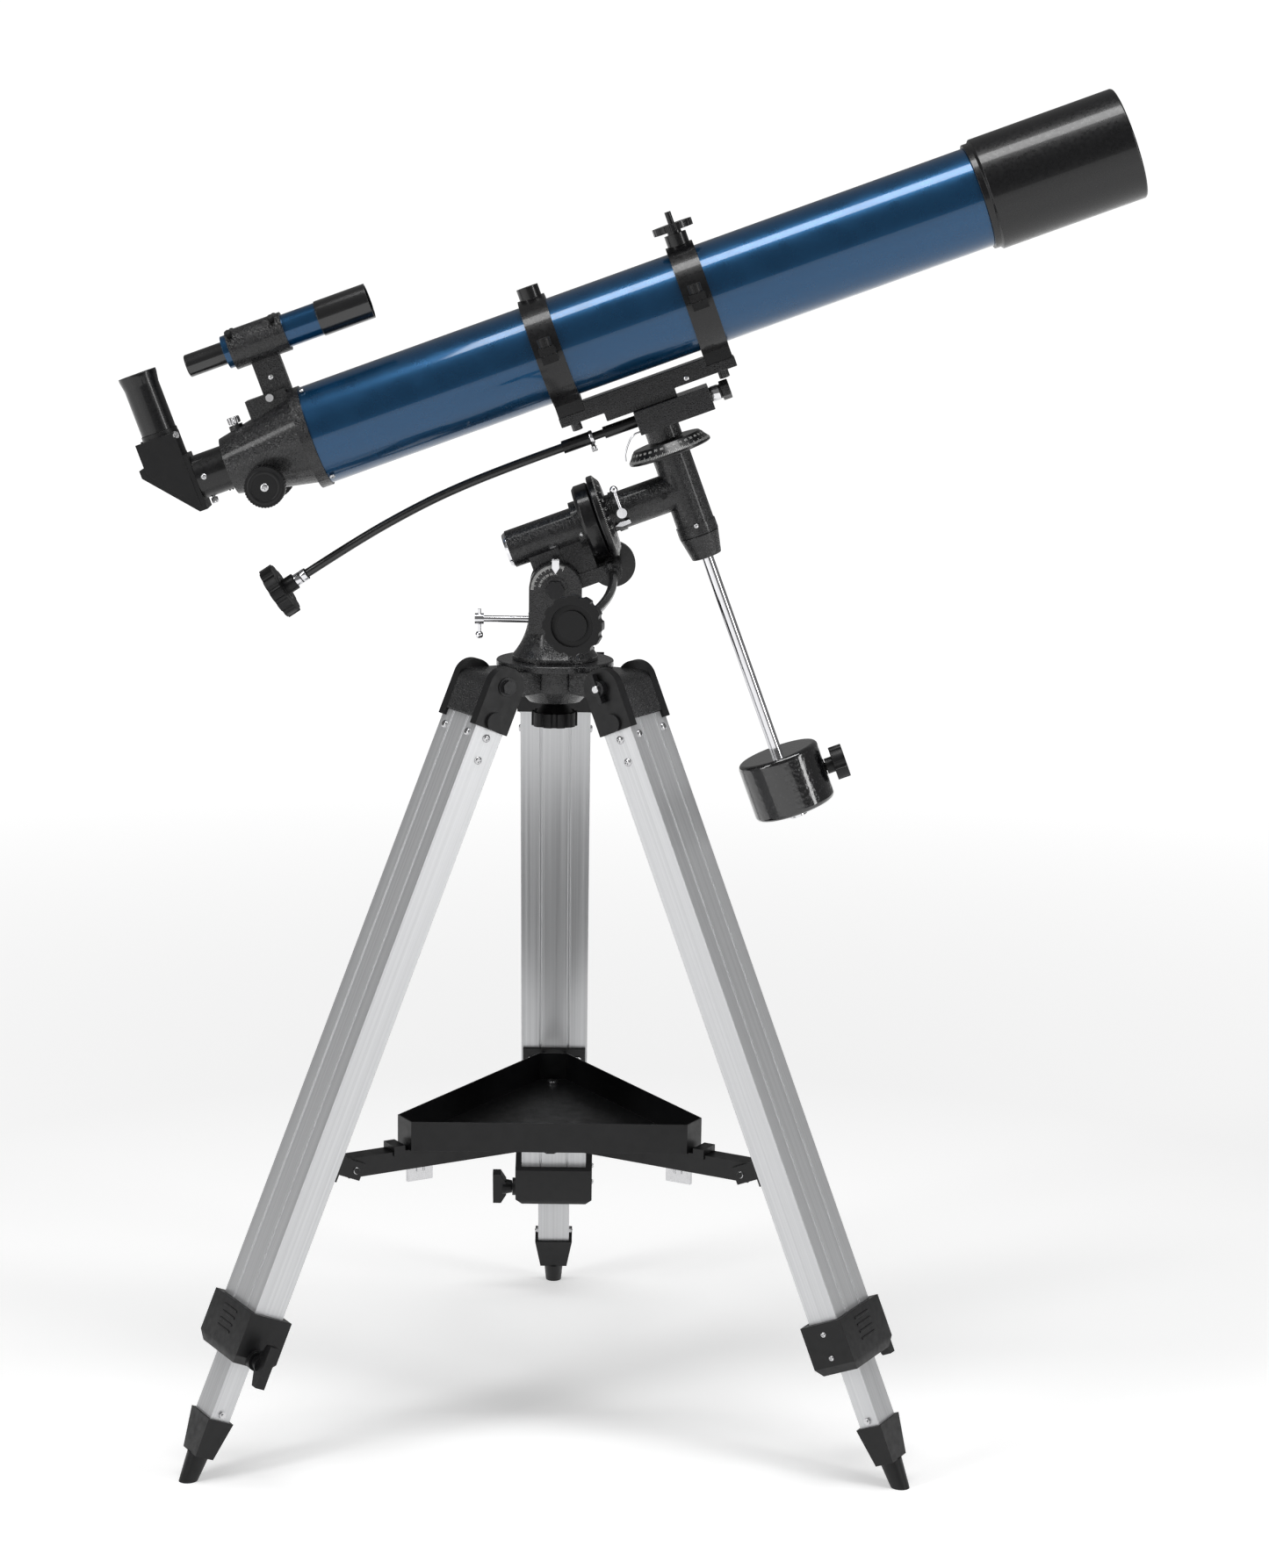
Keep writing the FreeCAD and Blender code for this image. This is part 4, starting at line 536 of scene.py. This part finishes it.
# ------------------------------------------------------------------ aluminium legs
# Each leg is an anodised extrusion with a narrower tube sliding inside it. Fine die lines run
# along its length, so the grain follows each leg's own direction.
def leg_grain(side):
    """Satin silver with a grain drawn out along the leg."""
    down = Vector(joints[side + "_leg_extension"]["axis"])
    turn = down.rotation_difference(Vector((0, 0, -1))).to_euler()
    metal = Finish("anodised_" + side, (0.62, 0.625, 0.635), 0.34, Metallic=0.65)
    stood_up = metal.add("ShaderNodeMapping", None, {"Vector": metal.place, "Rotation": turn})
    drawn = metal.add("ShaderNodeMapping", None, {"Vector": stood_up, "Scale": (420, 420, 1.2)})
    streaks = metal.noise(1, 4, drawn)
    metal.feed("Base Color", metal.blend(metal.spread(streaks, 0.3, 0.7, 0, 1),
                                         (0.56, 0.565, 0.575), (0.68, 0.685, 0.695)))
    metal.feed("Roughness", metal.spread(streaks, 0.3, 0.7, 0.3, 0.42))
    metal.bump(streaks, 0.00008, 0.25)
    return metal


for leg in LEGS:
    grain = leg_grain(leg)
    eased(f"leg_{leg}_rail", grain, 0.5)
    eased(f"leg_{leg}_inner_tube", grain, 0.5)

# ------------------------------------------------------------------ moulded plastic
# Leg brackets, collars, lock knobs, feet and hand knobs are black glass-filled nylon with a fine
# moulded grain.
plastic = Finish("moulded_black", (0.004, 0.004, 0.0045), 0.4, Specular_IOR_Level=0.35)
plastic.feed("Roughness", plastic.spread(plastic.noise(140, 4), 0.3, 0.7, 0.32, 0.5))
plastic.bump(plastic.noise(1600, 2), 0.00012, 0.3)
for leg in LEGS:
    eased(f"leg_{leg}_lock_knob", plastic, 1.2)
    eased(f"leg_{leg}_foot", plastic, 1.2)
for node in ("leg_brackets", "leg_collars"):
    eased(node, plastic, 1.2)
for node in ("mount_fixing_knob", "counterweight_knob", "star_diagonal", "ring_rear_screw",
             "ring_front_screw", "focus_pinion", "dec_cable_knob", "ra_cable_knob"):
    eased(node, plastic, 0.7)

# Two screws close each collar on its rail, and four ribs cross its outer face. A stud with a nut
# at each end crosses each inner tube, low enough to clear the collar when the tube is pushed in.
TUBE_NUT_DOWN = 762
collar_screws, collar_ribs = [], Shape()
for side in LEGS:
    collar_screws += [leg_point(side, 0, -42.9, down, (0, -1, 0)) for down in (665, 689)]
    for down in (662, 669, 676, 683):
        collar_ribs.prism(leg_point(side, 22.9, 0, down, (1, 0, 0)),
                          ((-14, -1.2), (14, -1.2), (14, 1.2), (-14, 1.2)), -0.6, 0.7)
fixings("collar_screws", cross_screw, collar_screws, "stand", "bolt_steel", zinc,
        Radius=2.8, Height=1.8)
for side in LEGS:
    ends = [leg_point(side, 0, face * 17.4, TUBE_NUT_DOWN, (0, face, 0))
            for face in (-1, 1)]
    fixings(side + "_tube_nuts", stud_nut, ends, side + "_leg_slide", "bolt_steel", zinc,
            Radius=3.6, Height=2.6, Stud=4)
collar_ribs.piece("collar_ribs", "stand", "black_plastic", plastic, 0.3)

# ------------------------------------------------------------------ sheet metal
# The spreader's channels, its hub plate, the brackets and the tray are folded steel in a satin
# black powder coat.
powder = Finish("powder_coat", (0.004, 0.004, 0.0045), 0.36, Specular_IOR_Level=0.35)
powder.feed("Roughness", powder.spread(powder.noise(90, 4), 0.3, 0.7, 0.28, 0.44))
powder.bump(powder.noise(1300, 2), 0.00015, 0.3)
for node in ("spreader_arms", "spreader_brackets", "spreader_hub", "accessory_tray"):
    eased(node, powder, 0.3)

# Bright screws pin the spreader's channels to the ears of each leg's bracket, and two more fix
# the bracket to the leg. The tray hangs on bolts with wing nuts.
ear_screws = []
for angle in LEG_ANGLES.values():
    spoke = stand @ Matrix.Rotation(math.radians(angle), 4, "Z")
    ear_screws += [faced(spoke, EAR_PIN_RADIUS, face * 13.1, EAR_PIN_HEIGHT, (0, face, 0))
                   for face in (-1, 1)]
for side in LEGS:
    ear_screws += [leg_point(side, -19.2, across, 497, (-1, 0, 0)) for across in (-26, 26)]
fixings("ear_screws", cross_screw, ear_screws, "stand", "bolt_steel", zinc, Radius=3.8, Height=2)
eased("tray_bolts", zinc, 0.3)

# ------------------------------------------------------------------ black bolts
# The hinge bolts and the altitude pivot are blackened steel, with hexagon heads and wing nuts.
# A bright screw end shows in each wing nut.
oxide = Finish("black_oxide", (0.012, 0.012, 0.013), 0.3, Metallic=0.4)
oxide.feed("Roughness", oxide.spread(oxide.noise(200, 3), 0.3, 0.7, 0.24, 0.4))
eased("leg_hinge_bolts", oxide, 0.5)
eased("altitude_pivot_bolt", oxide, 0.5)
STUD_END = ((0, -1), (3.6, -1), (3.6, 1), (3, 1.6), (0, 1.6))
stud_ends = Shape()
for side in LEGS:
    stud_ends.turned(leg_point(side, 0, -49, 0, (0, -1, 0)), STUD_END, 20)
stud_ends.piece("hinge_stud_ends", "stand", "bolt_steel", zinc)

# ------------------------------------------------------------------ bright metal
# The push bolt, the counterweight shaft, the clamp lever and the polar shaft are polished and
# chromed. Two index pointers are cut from thin plate and one is bent from wire.
for node in ("altitude_bolt", "ra_shaft", "ra_clamp_lever", "counterweight_shaft"):
    eased(node, chrome, 0.4)
index = Shape().prism(faced(stand, 0, -31.4, ALTITUDE_HEIGHT, (0, -1, 0)),
                      ((-3.6, 30), (-3.6, 21), (0, 15.5), (3.6, 21), (3.6, 30)), 0, 1)
index.prism(faced(stand, 0, -32.4, ALTITUDE_HEIGHT + 29.5, (0, 1, 0)),
            ((-3.6, -0.6), (3.6, -0.6), (3.6, 0.6), (-3.6, 0.6)), 0, 17)
index.piece("altitude_index", "polar_housing", "chrome", chrome, 0.2)
arrow = Shape().prism(faced(mount, -67, -17.4, -11.5, (0, -0.8, -0.6)),
                      ((8, -2.4), (8, 2.4), (-2, 3.4), (-8.2, 0), (-2, -3.4)), -1.6, 0.9)
arrow.piece("polar_pointer", "declination_housing", "chrome", chrome, 0.3)
needle = Shape().rod(mount, ((-20, -13, 67), (-26, -14, 67), (-32, -13, 64), (-38, -10, 57),
                             (-42.5, -8, 50), (-44, -7, 44)), 0.9)
needle.piece("declination_pointer", "declination_shaft", "chrome", chrome)
stub = Shape().turned(faced(mount, 57, 0, SCREW_HEIGHT, (1, 0, 0)),
                      ((6.6, 0), (7.5, 0), (7.7, 0.6), (7.7, 7.4), (7.5, 8), (6.6, 8), (6.6, 0)))
stub.piece("stub_ring", "declination_shaft", "chrome", chrome)

# ------------------------------------------------------------------ gloss black enamel
# The gear cover, the setting circles, the slow-motion screws, the dew shield, the tube rings,
# the drawtube and the eyepiece are in gloss black, with a faint leathery skin.
gloss = Finish("gloss_black", (0.003, 0.003, 0.0035), 0.3, Coat_Weight=0.35, Coat_Roughness=0.08,
               Specular_IOR_Level=0.35)
gloss.feed("Roughness", gloss.spread(gloss.noise(300, 4), 0.3, 0.7, 0.24, 0.38))
gloss.bump(gloss.noise(700, 3), 0.00025, 0.2)
for node in ("ra_gear_cover", "ra_circle", "dec_circle", "dew_shield", "ring_rear_base",
             "ring_front_base", "ring_rear_cap", "ring_front_cap", "drawtube", "eyepiece",
             "ra_worm", "dec_tangent_screw"):
    eased(node, gloss, 0.5)

# ------------------------------------------------------------------ dials
# The setting circles and the altitude dial carry fine white strokes, every fifth or tenth one
# long, with plain numbers beside them.
white = Finish("dial_white", (0.5, 0.5, 0.49), 0.5)
white.feed("Roughness", white.spread(white.noise(400, 2), 0.3, 0.7, 0.4, 0.6))


def graduation_tree():
    """Strokes set round a cone or a flat dial."""
    graph, given = small_tree("graduations", (
        "Count", "Every", "Radius", "Tilt", "Start", "Step", "Long", "Short", "Width"))
    index = graph.add("GeometryNodeInputIndex")
    turn = index * given["Step"] + given["Start"]
    spot = graph.add("ShaderNodeCombineXYZ", None, {
        "X": given["Radius"] * turn.maths("COSINE", turn),
        "Y": given["Radius"] * turn.maths("SINE", turn)})
    dots = graph.add("GeometryNodePoints", None, {"Count": given["Count"], "Position": spot})
    major = 1 - (index.maths("MODULO", index, given["Every"]) > 0.5)
    reach = given["Short"] + (given["Long"] - given["Short"]) * major
    size = graph.add("ShaderNodeCombineXYZ", None, {
        "X": 1.0, "Y": given["Width"], "Z": given["Width"] * 0.4})
    stroke = graph.add("GeometryNodeMeshCube", None, {"Size": size})
    stroke = graph.add("GeometryNodeTransform", None, {
        "Geometry": stroke, "Translation": (-0.5, 0, 0)})
    angles = graph.add("ShaderNodeCombineXYZ", None, {"Y": given["Tilt"] * 1, "Z": turn})
    stretch = graph.add("ShaderNodeCombineXYZ", None, {"X": reach, "Y": 1.0, "Z": 1.0})
    copies = graph.add("GeometryNodeInstanceOnPoints", None, {
        "Points": dots, "Instance": stroke, "Scale": stretch,
        "Rotation": graph.add("FunctionNodeEulerToRotation", None, {0: angles})})
    return ended(graph, given, copies)


graduations = graduation_tree()


def dial(name, place, body, amounts, numbers, size):
    """Strokes and numbers on one dial, whose own z is its axis."""
    strokes = applied(name, bpy.data.meshes.new(name), graduations,
                      {"Material": white.material, **amounts})
    strokes.transform(Matrix.Scale(1000, 4))
    marks = bmesh.new()
    marks.from_mesh(strokes)
    for text, spot, tilt, turn in numbers:
        line = bpy.data.curves.new("number", "FONT")
        line.body = text
        line.size = size
        line.extrude = 0.06
        line.align_x = "CENTER"
        line.align_y = "CENTER"
        line.resolution_u = 2
        letter = bpy.data.objects.new("number", line)
        bpy.context.scene.collection.objects.link(letter)
        bpy.context.view_layer.update()
        flat = bpy.data.meshes.new_from_object(letter)
        flat.transform(Matrix.Translation(spot) @ Matrix.Rotation(turn, 4, "Z")
                       @ Matrix.Rotation(tilt, 4, "Y") @ Matrix.Rotation(math.pi / 2, 4, "Z"))
        marks.from_mesh(flat)
        bpy.data.objects.remove(letter)
    marks.transform(place)
    mesh = bpy.data.meshes.new(name)
    marks.to_mesh(mesh)
    marks.free()
    return link_mesh(name, mesh, body, white)


def cone_numbers(texts, radius, height, tilt):
    """Numbers spaced evenly round a cone."""
    placed = []
    for index, text in enumerate(texts):
        turn = 2 * math.pi * index / len(texts)
        placed.append((text, (radius * math.cos(turn), radius * math.sin(turn), height), tilt,
                       turn))
    return placed


POLAR_TILT, DECLINATION_TILT = 0.576, 0.906
hours = [str(hour) for hour in range(24)]
dial("polar_scale", faced(mount, -81.5, 0, 0, (1, 0, 0)), "ra_circle",
     {"Count": 144, "Every": 6, "Radius": CIRCLE_RADIUS * MM, "Tilt": POLAR_TILT, "Start": 0.0,
      "Step": 2 * math.pi / 144, "Long": 3.6 * MM, "Short": 2 * MM, "Width": 0.4 * MM},
     cone_numbers(hours, 36.6, 3.7, POLAR_TILT), 3.6)
degrees = [str(abs((turn + 90) % 180 - 90)) for turn in range(0, 360, 10)]
dial("declination_scale", faced(mount, 0, 0, 39.5, (0, 0, 1)), "dec_circle",
     {"Count": 180, "Every": 5, "Radius": CIRCLE_RADIUS * MM, "Tilt": DECLINATION_TILT,
      "Start": 0.0, "Step": 2 * math.pi / 180, "Long": 4.4 * MM, "Short": 2.6 * MM,
      "Width": 0.4 * MM},
     cone_numbers(degrees, 36.9, 6.8, DECLINATION_TILT), 3.6)
latitudes = []
for step, text in enumerate(("70", "60", "50", "40", "30", "20")):
    turn = math.radians(165 - 15 * step)
    latitudes.append((text, (16 * math.cos(turn), 16 * math.sin(turn), 0.05), 0, turn))
dial("altitude_scale", faced(stand, 0, -31, ALTITUDE_HEIGHT, (0, -1, 0)), "azimuth_base",
     {"Count": 45, "Every": 5, "Radius": 24.2 * MM, "Tilt": 0.0, "Start": math.radians(70),
      "Step": math.radians(2.5), "Long": 4.6 * MM, "Short": 2.8 * MM, "Width": 0.45 * MM},
     latitudes, 3.4)

# ------------------------------------------------------------------ counterweight
# Cast iron under a thick speckled enamel, with softly rounded rims. The flecks are a little
# paler than the enamel round them.
weight = Finish("speckled_enamel", (0.004, 0.004, 0.0045), 0.18, Coat_Weight=1.0,
                Coat_Roughness=0.05)
flecks = weight.spread(weight.cells(260), 0.05, 0.3, 1, 0)
weight.feed("Base Color", weight.blend(flecks, (0.003, 0.003, 0.0035), (0.03, 0.03, 0.033)))
weight.bump(weight.cells(260, "SMOOTH_F1") + weight.noise(420, 3) * 0.4, 0.0007, 0.45)
eased("counterweight", weight, 0.6)

# ------------------------------------------------------------------ blue tubes
# Rolled aluminium tube in a deep blue metallic paint under clear lacquer. The finder has the
# same paint between its black eye end and its black dew cap.
BLUE_DARK = (0.002, 0.04, 0.11)
BLUE_LIGHT = (0.004, 0.1, 0.23)
PAINT_START, PAINT_END = -0.377, -0.2795
blue = Finish("blue_metallic", (0.003, 0.042, 0.11), 0.3, Metallic=0.7, Coat_Weight=0.8,
              Coat_Roughness=0.06)
blue.feed("Base Color", blue.blend(blue.spread(blue.cells(5200), 0.1, 0.6, 1, 0), BLUE_DARK,
                                   BLUE_LIGHT))
blue.feed("Roughness", blue.spread(blue.noise(40, 3), 0.3, 0.7, 0.24, 0.34))
eased("main_tube", blue, 0.3)
banded = Finish("finder_paint", (0.003, 0.042, 0.11), 0.26, Coat_Weight=0.8, Coat_Roughness=0.06)
centre = Vector(joints["declination"]["pos_m"])
along = banded.add("ShaderNodeVectorMath", {"operation": "DOT_PRODUCT"}, {
    0: banded.add("ShaderNodeVectorMath", {"operation": "SUBTRACT"}, {
        0: banded.place, 1: tuple(centre)}), 1: tuple(polar)}, "Value")
painted = (along > PAINT_START) * (1 - (along > PAINT_END))
fleck = banded.blend(banded.spread(banded.cells(5200), 0.1, 0.6, 1, 0), BLUE_DARK, BLUE_LIGHT)
banded.feed("Base Color", banded.blend(painted, (0.004, 0.004, 0.0045), fleck))
banded.feed("Metallic", painted * 0.7)
banded.feed("Roughness", banded.spread(banded.noise(40, 3), 0.3, 0.7, 0.2, 0.3))
eased("finder_scope", banded, 0.3)

# ------------------------------------------------------------------ objective
# An air-spaced pair of lenses behind the dew shield, with a faint green coating. The glass is
# almost perfectly smooth.
glass = Finish("coated_glass", (0.75, 0.85, 0.82), 0.02, Transmission_Weight=0.9, IOR=1.5)
glass.feed("Roughness", glass.spread(glass.noise(20, 2), 0.3, 0.7, 0.01, 0.03))
eased("objective_lens", glass, 0.3)

# ------------------------------------------------------------------ thumb screws
# Knurled thumb screws on short stems lock the declination cable's sleeve, the focuser, the
# drawtube, the eyepiece and the finder. They are bright zinc, apart from the finder's black ones.
def thumb(name, body, slot, finish, places, radius, tall):
    """Knurled heads standing out of a surface, with a chamfer at each end."""
    heads = Shape()
    outline = ((0, -1.5), (radius * 0.5, -1.5), (radius * 0.5, 1.2), (radius * 0.88, 1.4),
               (radius, 2), (radius, tall - 0.7), (radius * 0.86, tall), (0, tall))
    for place in places:
        heads.turned(place, outline, 64, 16, radius * 0.14)
    return heads.piece(name, body, slot, finish)


thumb("focus_lock", "optical_tube", "bolt_steel", zinc,
      [faced(mount, -393, 0, 206, (0, 0, 1))], 6.4, 8)
thumb("draw_lock", "drawtube", "bolt_steel", zinc,
      [faced(mount, -438, 0, 148, (0, 0, -1))], 3.4, 7)
thumb("eyepiece_lock", "star_diagonal", "bolt_steel", zinc,
      [faced(mount, -466 + 17.6 * 0.7, -17.6 * 0.7, 217, (0.7, -0.7, 0))], 3.8, 7.5)
thumb("shoe_lock", "optical_tube", "bolt_steel", zinc,
      [faced(mount, -350, -12.6, 220, (0, -1, 0))], 4.4, 6.5)
thumb("finder_screws", "optical_tube", "black_plastic", plastic,
      [faced(mount, reach, face * 13.6, FINDER_HEIGHT + 13.6, (0, face * 0.707, 0.707))
       for reach in (-366, -322) for face in (-1, 1)], 3.2, 7)
thumb("declination_sleeve_lock", "dec_tangent_screw", "bolt_steel", zinc,
      [faced(mount, -69, 0, 69.5, (0, 0, -1))], 3.1, 6.4)
SLEEVE_RING = ((6, 0), (6.9, 0), (7.1, 0.5), (7.1, 2.6), (6.9, 3), (6, 3), (6, 0))
sleeve_end = Shape().turned(faced(mount, -66.5, 0, SCREW_HEIGHT, (-1, 0, 0)), SLEEVE_RING)
sleeve_end.piece("declination_sleeve_ring", "dec_tangent_screw", "chrome", chrome)

# Bright cross screws close the focuser flange, the housings and the knobs.
FLANGE_RADIUS = 50.8
tube_screws = [faced(mount, -318, FLANGE_RADIUS * math.cos(turn),
                     TUBE_HEIGHT + FLANGE_RADIUS * math.sin(turn),
                     (0, math.cos(turn), math.sin(turn)))
               for turn in (math.radians(114), math.radians(234), math.radians(354))]
tube_screws.append(faced(mount, -343, -6.9, 238, (0, -1, 0)))
fixings("tube_screws", cross_screw, tube_screws, "optical_tube", "bolt_steel", zinc,
        Radius=2.8, Height=1.8)
fixings("knob_screws", cross_screw,
        [faced(mount, FOCUS_X, face * 54.9, FOCUS_HEIGHT, (0, face, 0)) for face in (-1, 1)],
        "focus_pinion", "bolt_steel", zinc, Radius=4.2, Height=1.8)
knob_rims = Shape()
for face in (-1, 1):
    knob_rims.turned(faced(mount, FOCUS_X, face * 54.6, FOCUS_HEIGHT, (0, face, 0)),
                     ((13, 0), (17, 0), (17, 0.8), (16.4, 1.2), (13.6, 1.2), (13, 0.8), (13, 0)),
                     64)
knob_rims.piece("knob_rims", "focus_pinion", "black_plastic", plastic)
fixings("draw_screw", cross_screw, [faced(mount, -437, -21.9, TUBE_HEIGHT, (0, -1, 0))],
        "drawtube", "bolt_steel", zinc, Radius=3.2, Height=2.4)
fixings("polar_screws", cross_screw, [faced(mount, -108.5, -22.7, -7.6, (0, -0.95, -0.3))],
        "polar_housing", "bolt_steel", zinc, Radius=2.2, Height=1.6)
fixings("collar_screw", cross_screw, [faced(mount, 0, -19.8, -38, (0, -1, 0))],
        "declination_housing", "bolt_steel", zinc, Radius=2.4, Height=1.6)
fixings("saddle_screws", cross_screw, [faced(mount, 39, -14.9, 101, (0, -1, 0))],
        "declination_shaft", "bolt_steel", zinc, Radius=2.8, Height=1.8)
set_hole = Shape().turned(faced(mount, -20, -19.9, 0, (0, -1, 0)),
                          ((0, 0.1), (1.6, 0.1), (1.8, 0.7), (2.8, 0.7), (3.1, 0), (3.1, -2),
                           (0, -2)), 24)
set_hole.piece("set_screw", "declination_housing", "hammertone", oxide)

# Side plates close the diagonal's prism box, leaving a fine seam along its sloping back.
cheeks = Shape()
for face in (-1, 1):
    corners = ((-450, 143.5), (-450, 220.5), (-490, 220.5), (-490, 190.5), (-453.5, 143.5))
    cheeks.prism(faced(mount, 0, 0, 0, (0, -1, 0)), corners, *sorted((face * 18.6, face * 19.5)))
cheeks.piece("diagonal_cheeks", "star_diagonal", "black_plastic", plastic, 0.3)

# ------------------------------------------------------------------ floor and light
# A white floor and backdrop, with a tall soft light on each side and one overhead. The floor
# glows more with distance, and the world is bright to the camera but dim as a light.
FLOOR_REACH = 12
GLOW_NEAR, GLOW_FAR = 1.2, 4.5
WORLD_LIGHT, WORLD_SEEN = 0.18, 0.87
floor_mesh = bpy.data.meshes.new("floor")
floor_mesh.from_pydata([(-FLOOR_REACH, -FLOOR_REACH, 0), (FLOOR_REACH, -FLOOR_REACH, 0),
                        (FLOOR_REACH, FLOOR_REACH, 0), (-FLOOR_REACH, FLOOR_REACH, 0)], [],
                       [(0, 1, 2, 3)])
# Painted light: the floor glows by its own emission on top of its pale base colour. The glow is
# dim grey near the tripod and near white far off.
floor_glow = Finish("white_paper", (0.82, 0.82, 0.82), 0.9, Emission_Strength=1.0)
away = floor_glow.add("ShaderNodeVectorMath", {"operation": "LENGTH"}, {0: floor_glow.place}, "Value")
floor_glow.feed("Emission Color", floor_glow.blend(floor_glow.spread(away, GLOW_NEAR, GLOW_FAR, 0, 1),
                                         (0.42, 0.42, 0.42), (0.95, 0.95, 0.95)))
floor_mesh.materials.append(floor_glow.material)
floor = bpy.data.objects.new("floor", floor_mesh)
bpy.context.scene.collection.objects.link(floor)

world = bpy.data.worlds.new("studio")
bpy.context.scene.world = world
world.use_nodes = True
room = Graph(world.node_tree)
seen = room.add("ShaderNodeLightPath", output="Is Camera Ray")
backdrop = world.node_tree.nodes["Background"]
backdrop.inputs["Color"].default_value = (1, 1, 1, 1)
world.node_tree.links.new((seen * WORLD_SEEN + WORLD_LIGHT).socket, backdrop.inputs["Strength"])
bpy.context.scene.view_settings.view_transform = "Standard"


def soft_light(name, place, aim, wide, tall, power):
    """A soft light at a place, turned towards its aim, in metres and watts."""
    lamp_data = bpy.data.lights.new(name, "AREA")
    lamp_data.shape = "RECTANGLE"
    lamp_data.size = wide
    lamp_data.size_y = tall
    lamp_data.energy = power
    lamp = bpy.data.objects.new(name, lamp_data)
    bpy.context.scene.collection.objects.link(lamp)
    turn = (Vector(aim) - Vector(place)).to_track_quat("-Z", "Y").to_matrix().to_4x4()
    lamp.matrix_world = Matrix.Translation(place) @ turn
    return lamp


soft_light("left_softbox", (-2.4, -1.8, 1.9), (0, 0, 0.8), 0.45, 2.4, 30)
soft_light("right_softbox", (2.6, -1.6, 1.6), (0, 0, 0.8), 0.45, 2.4, 26)
soft_light("top_softbox", (0, -0.6, 3.2), (0, 0, 0.9), 2.2, 0.7, 45)
